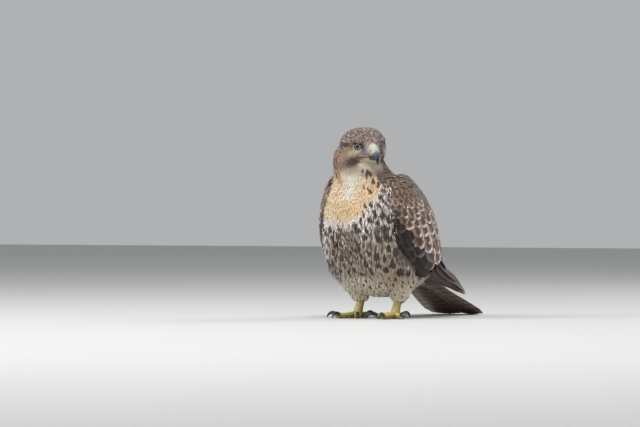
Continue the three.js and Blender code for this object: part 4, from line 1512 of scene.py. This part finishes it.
# tip, first and last place across the wing, how many, length, width, height
LAST_COVERTS = (
    (5.0, 0.04, 0.5, 6, 1.3, 25, 3.6), (5.45, 0.04, 0.34, 4, 1.4, 25, 4.2),
    (5.9, 0.03, 0.2, 3, 1.5, 24, 4.8), (3.1, 0.0, 0.14, 3, 1.1, 25, 4.8),
    (3.7, 0.0, 0.14, 3, 1.2, 26, 5.2), (4.4, 0.0, 0.16, 3, 1.2, 26, 5.2),
)
FIRST_V = 0.02


def covert_table(seed):
    """The wing coverts of one side: v, tip, length in sections, width, height, lower tiers first."""
    random = np.random.default_rng(seed)
    table = []
    tip, tier = 4.55, 0
    while tip > 0.4:
        size = 10.5 + 13.5 * step(0.4, 4.2, tip)
        patch, section = across_wing(tip)
        count = int(patch * (1 - FIRST_V) / (size * 0.74))
        row = (0.42 * size + 2.6) / section
        for k in range(count):
            v = FIRST_V + (1 - FIRST_V) * (k + 0.5 * (tier % 2) + 0.25) / count
            own_tip = tip + random.normal(0, 0.10) * row * 2
            wide = size * (1 + random.normal(0, 0.05))
            table.append([v, own_tip, 2.7 * row, wide, 2.0 + 0.9 * random.random()])
        tip -= row
        tier += 1
    for tip, start, end, count, long, size, high in LAST_COVERTS:
        for k in range(count):
            v = start + (end - start) * (k + 0.5) / count
            table.append([v, tip + random.normal(0, 0.04), long, size, high])
    return np.array(table)


# the way from the breast towards the outer side of the left wing, turned from the X axis
WING_OUT = math.radians(33)


def covert_looks(v, tip, random):
    """Colours of the coverts. Crescents fade towards the belly, where painted shade of the gap between wing
    and belly makes the wing dark and plain.
    """
    count = len(v)
    place = wing_point(tip, wing_angle(tip, v))
    outwards = place[:, 0] * math.cos(WING_OUT) + place[:, 1] * math.sin(WING_OUT)
    low = 170 - place[:, 2]
    outer = outwards - (24 + 0.42 * low + 0.34 * np.maximum(low - 50, 0))
    pale = step(-13, 3, outer) * step(-10, 8, low + 6 * random.normal(size=count))
    pale = pale * (1 - 0.2 * step(38, 56, outer))
    # deep is painted shade of the gap between wing and belly: it darkens the ground and the tone, and dims
    # the rims.
    deep = step(4 + 0.10 * low, -8 + 0.10 * low, outer) * step(6, 30, low)
    shoulder = step(20, -10, low)
    ground = mix(BROWN, MID_BROWN, 0.7 * shoulder)
    ground = mix(ground, TAN, 0.34 * pale)
    ground = mix(ground, SEPIA * 0.55, 0.95 * deep)
    rim_colour = mix(TAN, SNOW, np.clip(pale * (0.75 + 0.35 * random.random(count)), 0, 1))
    rim = 0.35 + 0.66 * pale - 0.35 * random.random(count) * (1 - 0.7 * pale)
    rim = rim * (1 - 0.75 * deep)
    tone = (1 + 0.12 * random.normal(size=(count, 1))) * (1 - 0.7 * deep)[:, None]
    drop_long = 0.42 + 0.12 * random.random(count)
    form = np.stack([np.full(count, 0.60), drop_long, 0.34 + 0.16 * random.random(count)], -1)
    return marked_looks(ground * tone, 0.75, rim_colour, np.clip(rim, 0, 1), form)


for side, label, seed in ((1, "left", 31), (-1, "right", 32)):
    v, tip, long, width, high = covert_table(seed).T
    looks = covert_looks(v, tip, np.random.default_rng(seed + 10))
    wing_vanes(f"wing_coverts_{label}", side, v, np.maximum(tip - long, 0.05), tip, width,
               np.full(len(v), -1.5), high, looks, 11, COVERT_SHAPE, wing_feathers, 0.2, 0.5, 0.02, seed)

# %% [markdown]
# Nine long flight feathers lie under the coverts of each wing, edge over edge, and end in the
# wing's point. They are stiff, dark and faintly barred, and painted shade darkens those nearest the belly.

# %% Flight feathers
FLIGHT_SHAPE = np.array([0.3, 0.75, 0.95, 1, 1, 1, 1, 0.97, 0.9, 0.72, 0.25])
FLIGHT_TIPS = np.array([6.7, 6.5, 6.2, 5.9, 7.1, 7.7, 8, 7.8, 7.2])


def flight_looks(count, random):
    ground = BROWN * (1 + 0.05 * random.normal(size=(count, 1)))
    # The feathers are dark brown of their own, and painted shade of the gap under the wing makes those
    # towards the belly darker still.
    ground = mix(ground, SEPIA * 0.7, 0.35 + 0.6 * step(3.0, 7, np.arange(count)))
    return marked_looks(ground, 0.35, CHEEK, 0.45, (0.9, 0.2, 0.9))


for side, label, seed in ((1, "left", 41), (-1, "right", 42)):
    count = len(FLIGHT_TIPS)
    k = np.arange(count)
    high = 2.4 - 1.05 * k
    width = np.where(k < 4, 26, 24.0)
    looks = flight_looks(count, np.random.default_rng(seed))
    piece = wing_vanes(f"flight_feathers_{label}", side, 0.08 + 0.86 * k / (count - 1), np.full(count, 3.9),
                       FLIGHT_TIPS, width, high - 4, high, looks, 48, FLIGHT_SHAPE, flight_finish, 0.1, 0.7,
                       0.004, seed)
    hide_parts(f"wing_{label}")

# %% [markdown]
# Twelve tail feathers are stacked like a closed fan, the middle pair on top. Young birds have a
# brown tail with dark bars and a pale tip.

# %% Tail
TAIL_SHAPE = np.array([0.3, 0.8, 1, 1, 1, 1, 1, 1, 0.97, 0.9, 0.45])
TAIL_START = 30.0
TAIL_WIDTH = 33.0
TAIL_ROWS = 56
LAYER = 1.1
LAYER_RISE = 2.2

tail_finish = feather_finish("barred tail feathers", fineness=2.4, rim_width=0.12, period=17.0,
                             bar_share=0.34, bar_strength=0.75)
pair = np.repeat(np.arange(6), 2)
side = np.tile([-1, 1], 6)
fan = side * math.radians(2.1) * (pair + 0.45)
count = len(pair)
length = (205 - 0.35 * pair**2)[:, None]
t = np.linspace(0, 1, TAIL_ROWS)
far = TAIL_START + (length - TAIL_START) * t
layer = (5 - pair) * LAYER + np.where((side > 0) & (pair == 0), LAYER, 0)
start = layer - LAYER_RISE
rise = start[:, None] + (layer - start)[:, None] * t
shaft = tail_point(far * np.cos(fan)[:, None], far * np.sin(fan)[:, None], rise)
up = np.broadcast_to(tail_point(0, 0, 1) - tail_point(0, 0, 0), shaft.shape)
half = half_widths(np.full(count, TAIL_WIDTH), TAIL_SHAPE, TAIL_ROWS)
looks = marked_looks(np.tile(MID_BROWN, (count, 1)), 0.5, CHEEK, 0.6, (0.93, 0.05, 2.0))
_, _, spots = on_skin(metres(shaft[:, 0]))
piece = vanes("tail_feathers", shaft, up, half, np.zeros_like(half), spots, looks, tail_finish, 7, 0.02, 0.7,
              0.012, 51, own_patches=True)
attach(piece, "root")
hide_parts("tail")

# %% [markdown]
# The eye is a ball of glass with a painted iris. Its lids are a thin dark rim that sits on it.

# %% Eyes and lids
def eye_piece(side, label):
    out, ahead, up = eye_axes(side)
    polar = np.radians(np.concatenate([np.linspace(0.5, 45, 46), np.linspace(50, 175, 26)]))[:, None]
    round_it = turns(64)[None, :]
    bulge = EYE_RADIUS - 0.1 + 0.8 * step(38, 14, np.degrees(polar))
    local = sphere(polar, round_it) * bulge[..., None]
    middle = EYE_AT * [1, side, 1]
    points = local[..., :1] * out + local[..., 1:2] * ahead * side + local[..., 2:] * up + middle
    rings = outward(head_point(points.reshape(-1, 3)).reshape(points.shape))
    piece = tube_piece(f"eyeball_{label}", rings, eye_glass)
    angle = np.broadcast_to(np.degrees(polar), points.shape[:2]).reshape(-1)
    turn = np.broadcast_to(round_it, points.shape[:2]).reshape(-1)
    values = np.stack([angle / 90, np.cos(turn), np.sin(turn)], -1)
    give_vectors(piece, "gaze", np.concatenate([values, [[0, 0, 0], [2, 0, 0]]]))
    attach(piece, "root")
    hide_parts(f"eye_{label}")


def eye_finish():
    material, tree, shader = new_material("eye glass")
    polar, x, y = split(attribute(tree, "gaze")["Vector"])
    noise = clouds(tree, 1.0, place=join(times(x, 9.0), times(y, 9.0), times(polar, 4.0)))
    iris = blend(noise, linear(112, 108, 102), linear(182, 176, 166))
    iris = blend(ramp(polar, 0.29, 0.36), iris, linear(60, 54, 48))
    iris = blend(ramp(polar, 0.212, 0.202), iris, linear(3, 3, 4))
    iris = blend(ramp(polar, 0.37, 0.385), iris, linear(20, 18, 18))
    link(iris, shader.inputs["Base Color"])
    link(ramp(noise, 0.0, 1.0, 0.12, 0.2), shader.inputs["Roughness"])
    shader.inputs["Coat Weight"].default_value = 0.25
    shader.inputs["Coat Roughness"].default_value = 0.03
    return material


eye_glass = eye_finish()
for side, label in ((1, "left"), (-1, "right")):
    eye_piece(side, label)


# half length, half height above and below the middle of the eye
LID_INNER = (5.3, 3.3, 4.5)
LID_OUTER = (8.3, 5.4, 6.8)
LID_SIDES = 24


def lid_edge(turn, size):
    """How far one edge of the lids is from the middle of the eye."""
    long, above, below = size
    return 1 / np.hypot(np.cos(turn) / long, np.sin(turn) / np.where(np.sin(turn) > 0, above, below))


def lid_piece(side, label):
    """A flat ring that lies on the ball with its inner edge and under the feathers with its outer one."""
    out, ahead, up = eye_axes(side)
    turn = turns(96)[:, None]
    inner, outer = lid_edge(turn, LID_INNER), lid_edge(turn, LID_OUTER)
    round_it = turns(LID_SIDES)[None, :]
    share = 0.5 + 0.5 * np.sin(round_it)
    radial = inner + (outer - inner) * share
    on_ball = np.sqrt(EYE_RADIUS**2 - inner**2) + 0.35
    fold = 0.25 * np.sin(share * 9) * share
    reach = mix(on_ball, 8.2 + 0 * on_ball, share) + 0.55 * np.cos(round_it) + fold
    rings = (EYE_AT * [1, side, 1] + reach[..., None] * out + (radial * np.cos(turn))[..., None] * ahead
             + (radial * np.sin(turn))[..., None] * up)
    faces = grid_faces(len(rings) + 1, LID_SIDES, True) % (len(rings) * LID_SIDES)
    points = head_point(rings.reshape(-1, 3))
    piece = new_piece(f"lid_{label}", metres(points), [faces if side < 0 else faces[:, ::-1]], lid_skin)
    full = np.broadcast_arrays(share, np.cos(turn), np.sin(turn))
    give_vectors(piece, "around", np.stack(full, -1).reshape(-1, 3))
    print(piece.name, len(piece.data.polygons), "faces")
    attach(piece, "root")


def lid_finish():
    """Dark at the edge of the lids, and pale bare skin behind and below them."""
    material, tree, shader = new_material("lids")
    share, ahead, up = split(attribute(tree, "around")["Vector"])
    noise = clouds(tree, 900.0, 4.0)
    below = plus(times(ahead, -0.5), times(up, -1.0))
    pale = times(ramp(share, 0.44, 0.60), ramp(below, -0.3, 0.25))
    bare_skin = blend(ramp(noise, 0.35, 0.65), linear(204, 192, 188), linear(170, 156, 158))
    link(blend(pale, linear(26, 22, 24), bare_skin), shader.inputs["Base Color"])
    raise_surface(shader, noise, 0.3, 0.0002)
    shader.inputs["Roughness"].default_value = 0.45
    return material


def plain_skin(name, colour, second, roughness):
    material, tree, shader = new_material(name)
    noise = clouds(tree, 500.0, 5.0)
    link(blend(ramp(noise, 0.3, 0.7), colour, second), shader.inputs["Base Color"])
    link(ramp(noise, 0.2, 0.8, roughness - 0.08, roughness + 0.08), shader.inputs["Roughness"])
    raise_surface(shader, noise, 0.3, 0.0003)
    return material


lid_skin = lid_finish()
for side, label in ((1, "left"), (-1, "right")):
    lid_piece(side, label)

# %% [markdown]
# The bill is one curved horn. Its root is wrapped in the cere, a soft yellow skin that holds the
# nostrils. Both follow the same table of sections, and a slanted plane divides them.

# %% Bill and cere
# forwards and up of the upper edge, the same of the lower edge, half width
BILL = np.array([
    [14, 5, 14, -13, 8.8], [21, 4.8, 20, -13.8, 8.4], [27, 3.2, 26, -13.9, 7.4],
    [33, -0.8, 31.5, -13.4, 5.9], [38, -6.6, 35.6, -13.9, 4.6], [41.4, -13.4, 37.4, -17, 3.4],
    [42.4, -19.6, 39.2, -21, 2.3], [41.6, -25.6, 40.8, -25.2, 0.6],
])
LOWER_BILL = np.array([
    [13, -13.2, 13, -19.8, 7.6], [20, -13.4, 19, -20.4, 6.8], [26, -13.2, 26, -19.9, 5.6],
    [31, -12.8, 30.5, -18.8, 4.4], [34.6, -13.6, 34, -17, 2.4],
])
CERE_X = 43.5
CERE_SLANT = math.radians(42)
NOSTRIL = np.array([28, 6.6, -5.4])
NOSTRIL_SIZE = np.array([1.7, 3.0, 1.15])
DIP_AT = np.array([10, 0, -8])
DIP = math.radians(5)


def dipped(points):
    """Turns points of the bill a little down about the corner of the mouth."""
    away = points - DIP_AT
    x = away[..., 0] * math.cos(DIP) + away[..., 2] * math.sin(DIP)
    z = away[..., 2] * math.cos(DIP) - away[..., 0] * math.sin(DIP)
    return np.stack([x, away[..., 1], z], -1) + DIP_AT


def bill_point(rows, s, angle, grow=0.0):
    row = between(rows, s)
    x0, z0, x1, z1, half = np.moveaxis(row, -1, 0)
    height = np.hypot(x0 - x1, z0 - z1)
    rise = np.sin(angle) * (1 + 2 * grow / np.maximum(height, 1))
    widest = half * (1 - 0.22 * np.maximum(rise, 0))
    y = (np.maximum(widest, 0.25) + grow) * np.cos(angle)
    share = (1 + rise) / 2
    return np.stack([x1 + (x0 - x1) * share, y, z1 + (z0 - z1) * share], -1)


def cere_edge(angle):
    """How far along the bill the cere reaches on each line round it."""
    s = np.linspace(0.2, 6, 400)[:, None]
    points = bill_point(BILL, s + 0 * angle, angle + 0 * s)
    beyond = (points[..., 0] - CERE_X) * math.cos(CERE_SLANT) - points[..., 2] * math.sin(CERE_SLANT) > 0
    return s[beyond.argmax(0), 0]


def horn_piece(name, rows, start, end, grow, steps, material, replaced, pit=False):
    u = np.linspace(0, 1, steps)[:, None]
    s = start + (end - start) * u
    points = bill_point(rows, s, ROUND_BILL + 0 * s, grow(u) + 0 * s)
    depth = np.zeros(points.shape[:2])
    if pit:
        for side in (-1, 1):
            near = (points - NOSTRIL * [1, side, 1]) / NOSTRIL_SIZE
            dent = np.exp(-(near**2).sum(-1) ** 2 * 1.2)
            points[..., 1] -= side * 1.5 * dent
            depth = np.maximum(depth, dent)
    s = s + 0 * depth
    rings = head_point(dipped(points).reshape(-1, 3)).reshape(points.shape)
    turned = outward(rings)
    if turned is not rings:
        depth = depth[:, ::-1]
        s = s[:, ::-1]
    piece = tube_piece(name, turned, material)
    high = (in_head(turned.reshape(-1, 3))[:, 2].reshape(depth.shape) + 14) / 19
    values = np.stack([depth, s, high], -1).reshape(-1, 3)
    give_vectors(piece, "horn", np.concatenate([values, [[0, 0, 0], [0, 9, 0]]]))
    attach(piece, "root")
    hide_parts(replaced)


def horn_finish(name, root, tip, low, high_end, roughness, coat, pit=None, lower=None):
    material, tree, shader = new_material(name)
    depth, along, high = split(attribute(tree, "horn")["Vector"])
    noise = clouds(tree, 320.0, 5.0)
    colour = blend(ramp(along, low, high_end), root, tip)
    if lower is not None:
        colour = blend(ramp(high, 0.40, 0.92), lower, colour)
    shown = shaded(colour, ramp(noise, 0.3, 0.7, 0.82, 1.12))
    # The pit colour darkens the nostril by its depth: painted shade in the opening.
    if pit is not None:
        shown = blend(ramp(depth, 0.25, 0.6), shown, pit)
    link(shown, shader.inputs["Base Color"])
    link(ramp(noise, 0.2, 0.8, roughness - 0.08, roughness + 0.1), shader.inputs["Roughness"])
    raise_surface(shader, noise, 0.25, 0.0003)
    shader.inputs["Coat Weight"].default_value = coat
    return material


blue_horn = horn_finish("blue-black horn", linear(66, 72, 98), linear(18, 18, 24), 3.8, 6.0, 0.35, 0.2)
lower_horn = horn_finish("grey horn", linear(128, 136, 126), linear(44, 56, 66), 0.4, 2.2, 0.4, 0.15)
cere_skin = horn_finish("yellow cere", linear(170, 165, 160), linear(200, 193, 148), 1.3, 2.9, 0.5, 0.1,
                        linear(40, 38, 30), linear(158, 160, 144))
ROUND_BILL = turns(96)[None, :]
edge = cere_edge(ROUND_BILL[0])[None, :]
horn_piece("cere_skin", BILL, 0.0, edge, lambda u: 0.35 - 0.5 * u**8, 60, cere_skin, "cere",
           pit=True)
horn_piece("bill_upper_horn", BILL, edge - 0.25, 6.98, lambda u: 0.0, 70, blue_horn, "bill_upper")
horn_piece("bill_lower_horn", LOWER_BILL, 0.0, 4.0, lambda u: 0.0, 40, lower_horn, "bill_lower")

# %% [markdown]
# The corner of the mouth runs back from the bill to below the eye: a thin dark line with a soft
# yellow lip over it. Fine bristles grow from the bare skin before the eye and over the cere's edge.

# %% Mouth and bristles
MOUTH = np.array([[24.5, 6.6, -13.6], [20, 8.9, -14.2], [14, 14.8, -14.9], [7, 20.8, -14.6]])


def rod_rings(centres, radii, up, steps, columns, relief=None):
    """A tube along a smooth line through centres. relief(length, angle, radius) raises its surface."""
    u = np.linspace(0, 1, steps)
    middle = between(centres, u * (len(centres) - 1))
    radius = between(np.asarray(radii, float)[:, None], u * (len(radii) - 1))
    along = unit(np.gradient(middle, axis=0))
    side = unit(np.cross(along, np.broadcast_to(up, along.shape)))
    top = np.cross(side, along)
    angle = turns(columns)[None, :]
    length = np.concatenate([[0], np.cumsum(np.linalg.norm(np.diff(middle, axis=0), axis=1))])[:, None]
    raised = np.zeros((steps, columns)) if relief is None else relief(length, angle, radius)
    reach = radius + raised
    rings = (middle[:, None] + (reach * np.cos(angle))[..., None] * top[:, None]
             + (reach * np.sin(angle))[..., None] * side[:, None])
    return rings, raised


lip_skin = plain_skin("lips", linear(168, 154, 114), linear(132, 118, 88), 0.5)
gape_skin = plain_skin("mouth line", linear(40, 34, 32), linear(62, 52, 46), 0.6)
for side, label in ((1, "left"), (-1, "right")):
    for name, radii, drop, material in (
            ("lip", (0.4, 0.8, 0.8, 0.3), 0.7, lip_skin),
            ("gape", (0.4, 0.7, 0.7, 0.3), -0.6, gape_skin)):
        centres = head_point(dipped(MOUTH * [1, side, 1] + [0, side * 0.3, drop]))
        rings, _ = rod_rings(centres, radii, [0, 0, 1], 40, 14)
        piece = tube_piece(f"{name}_{label}", outward(rings), material)
        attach(piece, "root")


def bristles(name, seed):
    random = np.random.default_rng(seed)
    count, rows = 150, 6
    side = np.where(random.random(count) > 0.5, 1, -1)
    along = random.random(count)
    high = random.random(count)
    sideways = side * (17.2 - 1.5 * high - 6 * along)
    root = np.stack([13 + 5 * along, sideways, -11 + 15 * high - 1.5 * along], -1)
    spread_aim = side * (0.15 + 0.25 * random.random(count))
    aim = np.stack([np.full(count, 1.0), spread_aim, -0.35 + 1.3 * high], -1)
    length = 4.5 + 3.5 * random.random(count)
    t = np.linspace(0, 1, rows)
    curl = np.stack([0 * along, side * 0.3, 0.35 + 0 * along], -1)
    shaft = (root[:, None] + unit(aim)[:, None] * (length[:, None] * t)[..., None]
             + curl[:, None] * (length[:, None] * 0.35 * t**2)[..., None])
    up = np.broadcast_to(unit(np.stack([0 * along, side * 1.0, 0.4 + 0 * along], -1))[:, None], shaft.shape)
    half = np.full((count, rows), 0.16) * np.array([1.3, 1.1, 1, 0.8, 0.5, 0.15])
    pale = random.random(count) > 0.55
    colour = np.where(pale[:, None], LORE, SEPIA)
    shown = head_point(shaft.reshape(-1, 3)).reshape(shaft.shape)
    _, _, spots = on_skin(metres(shown[:, 0]))
    piece = vanes(name, shown, up @ HEAD_TURN.T, half, np.zeros((count, rows)), spots, plain_looks(colour),
                  small_feathers, 3, 0.1, 0.2, 0, seed)
    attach(piece, "root")


bristles("bristles", 71)

# %% [markdown]
# The feet are bare and scaly. Broad plates cross the front of the leg and the top of each toe, small
# round scales cover the sides, and soft pads swell under the joints. Each claw is a tapering horn.

# %% Feet and claws
# x and y of the middle, height, half width, half depth
SHANK = np.array([
    [34, 7, 44, 6, 7.5], [33.5, 6, 34, 5.4, 7], [33, 2, 22, 5, 6.4], [33, -3, 12, 6, 7], [33, -5, 5, 7, 7.5],
])
# name, direction, length, radius, length of the claw
TOES = (("middle", 2, 44, 4.9, 19), ("inner", -38, 31, 5.1, 23), ("outer", 42, 34, 4.5, 17),
        ("hind", 176, 26, 5.2, 25))
TOE_SWELL = np.array([1.15, 1, 1.05, 0.86, 0.98, 0.6])
TOE_LINE = ((0.02, 6), (0.34, 4.4), (0.68, 3.8), (1, 4))
CLAW_LINE = ((0, 4.4), (0.3, 7.6), (0.6, 7.6), (0.82, 4.8), (0.93, 0.9))
FOOT = np.array([33, -5, 0.0])
FOOT_TURN = 6
PLATE = 2.7
GRAIN_SIZE = 1.5
GRAIN_ROW = GRAIN_SIZE * 0.87
TOE_FLOOR = 0.12
CLAW_FLOOR = 0.1


def scales(length, angle, radius):
    """Height of the scales: plates where cos(angle) is large, and grains elsewhere."""
    face = step(0.25, 0.55, np.cos(angle))
    part = (length / PLATE + 0.12 * np.cos(angle * 3)) % 1
    plate = 0.42 * part**0.5 * step(1.0, 0.86, part) + 0.10
    row = np.floor(length / GRAIN_ROW)
    count = np.maximum(np.round(2 * np.pi * radius.mean() / GRAIN_SIZE), 8)
    a = (length / GRAIN_ROW) % 1 - 0.5
    b = (angle / (2 * np.pi) * count + 0.5 * (row % 2)) % 1 - 0.5
    grain = 0.26 * np.clip(1 - (a**2 + b**2) * 3.6, 0, 1) ** 0.7
    return face * plate + (1 - face) * grain


def toe_relief(length, angle, radius):
    under = step(-0.2, -0.8, np.cos(angle))
    swell = 0.5 * np.sin(length * 2 * np.pi / 11 + 0.6) * under
    return scales(length, angle, radius) + swell * 0.8 - 0.15


def bearing(angle):
    turn = math.radians(angle)
    return np.array([math.sin(turn), -math.cos(turn), 0])


def foot_piece(side, label):
    rods = [rod_rings(SHANK[:, :3], (SHANK[:, 3] + SHANK[:, 4]) / 2, [0, -1, 0.01], 190, 72,
                      lambda l, a, r: scales(l, a, r) - 0.1)]
    for _, turn, long, radius, _ in TOES:
        ahead = bearing(turn + FOOT_TURN)
        centres = np.array([FOOT + ahead * long * far + [0, 0, z] for far, z in TOE_LINE])
        radii = radius * TOE_SWELL - 0.1
        rods.append(rod_rings(centres, radii, [0, 0, 1], int(long / 0.24), 56, toe_relief))
    points, faces, values = [], [], []
    start = 0
    for rings, raised in rods:
        shown = rings * [side, 1, 1]
        shown[..., 2] = np.maximum(shown[..., 2], TOE_FLOOR)
        turned = outward(shown)
        raised = raised if turned is shown else raised[:, ::-1]
        quads, fans = tube_faces(*turned.shape[:2])
        points.append(tube_points(turned))
        faces += [quads + start, fans + start]
        values.append(np.concatenate([raised.reshape(-1), [0.2, 0.2]]))
        start += len(points[-1])
    piece = new_piece(f"foot_scales_{label}", metres(np.concatenate(points)), faces, foot_skin)
    values = np.concatenate(values)
    give_vectors(piece, "scale", np.stack([values, 0 * values, 0 * values], -1))
    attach(piece, "root")
    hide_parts(f"foot_{label}")
    print(piece.name, len(piece.data.polygons), "faces")


def claw_piece(side, label, name, turn, long, claw):
    ahead = bearing(turn + FOOT_TURN)
    root = FOOT + ahead * (long - 3)
    centres = np.array([root + ahead * far * claw + [0, 0, z] for far, z in CLAW_LINE])
    rings, _ = rod_rings(centres, (3.1, 3.0, 2.5, 1.6, 0.35), [0, 0, 1], 60, 28,
                         lambda l, a, r: -0.16 * r * step(-0.75, -1.0, np.cos(a)))
    shown = rings * [side, 1, 1]
    shown[..., 2] = np.maximum(shown[..., 2], CLAW_FLOOR)
    turned = outward(shown)
    piece = tube_piece(f"claw_horn_{name}_{label}", turned, claw_horn)
    far = np.broadcast_to(np.linspace(0, 6, len(turned))[:, None], turned.shape[:2]).reshape(-1)
    values = np.concatenate([far, [0, 6]])
    give_vectors(piece, "horn", np.stack([0 * values, values, 0 * values + 1], -1))
    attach(piece, "root")
    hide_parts(f"claw_{name}_{label}")


def foot_finish():
    material, tree, shader = new_material("scaly feet")
    raised, _, _ = split(attribute(tree, "scale")["Vector"])
    noise = clouds(tree, 260.0, 5.0)
    tint = blend(ramp(noise, 0.3, 0.7), linear(206, 190, 118), linear(184, 166, 96))
    shown = blend(ramp(raised, -0.05, 0.22), linear(126, 108, 62), tint)
    link(shown, shader.inputs["Base Color"])
    link(ramp(noise, 0.2, 0.8, 0.42, 0.6), shader.inputs["Roughness"])
    raise_surface(shader, noise, 0.2, 0.0002)
    return material


foot_skin = foot_finish()
claw_horn = horn_finish("black claws", linear(58, 54, 56), linear(18, 16, 18), 0.3, 3.0, 0.32, 0.3)
for side, label in ((1, "left"), (-1, "right")):
    foot_piece(side, label)
    for name, turn, long, _, claw in TOES:
        claw_piece(side, label, name, turn, long, claw)

# %% [markdown]
# The room is a plain pale floor under three large soft lights, as for a museum piece.

# %% Floor and light
FLOOR_HALF = 9.0
LIT_PLACE = Vector((0, -0.08, 0.14))


def floor_finish():
    material, tree, shader = new_material("pale floor")
    tint = blend(clouds(tree, 6.0), linear(188, 188, 186), linear(198, 198, 196))
    link(tint, shader.inputs["Base Color"])
    shader.inputs["Roughness"].default_value = 0.9
    return material


corners = np.array([[-1, -1, 0], [1, -1, 0], [1, 1, 0], [-1, 1, 0]]) * FLOOR_HALF
floor = new_piece("floor", corners, [[[0, 1, 2, 3]]], floor_finish(), False)


def soft_light(name, place, size, power):
    light = bpy.data.lights.new(name, "AREA")
    light.shape = "DISK"
    light.size = size
    light.energy = power
    source = bpy.data.objects.new(name, light)
    source.location = Vector(place)
    source.rotation_euler = (LIT_PLACE - source.location).to_track_quat("-Z", "Y").to_euler()
    bpy.context.scene.collection.objects.link(source)


soft_light("sky_light", (0.6, -1.2, 2.6), 2.2, 62)
soft_light("front_light", (-1.7, -2.5, 2.0), 1.8, 74)
soft_light("back_light", (1.2, 2.0, 1.8), 1.4, 24)
world = bpy.data.worlds.new("studio")
world.use_nodes = True
world.node_tree.nodes["Background"].inputs["Color"].default_value = (0.78, 0.80, 0.82, 1)
world.node_tree.nodes["Background"].inputs["Strength"].default_value = 0.55
bpy.context.scene.world = world
bpy.context.scene.view_settings.view_transform = "Standard"
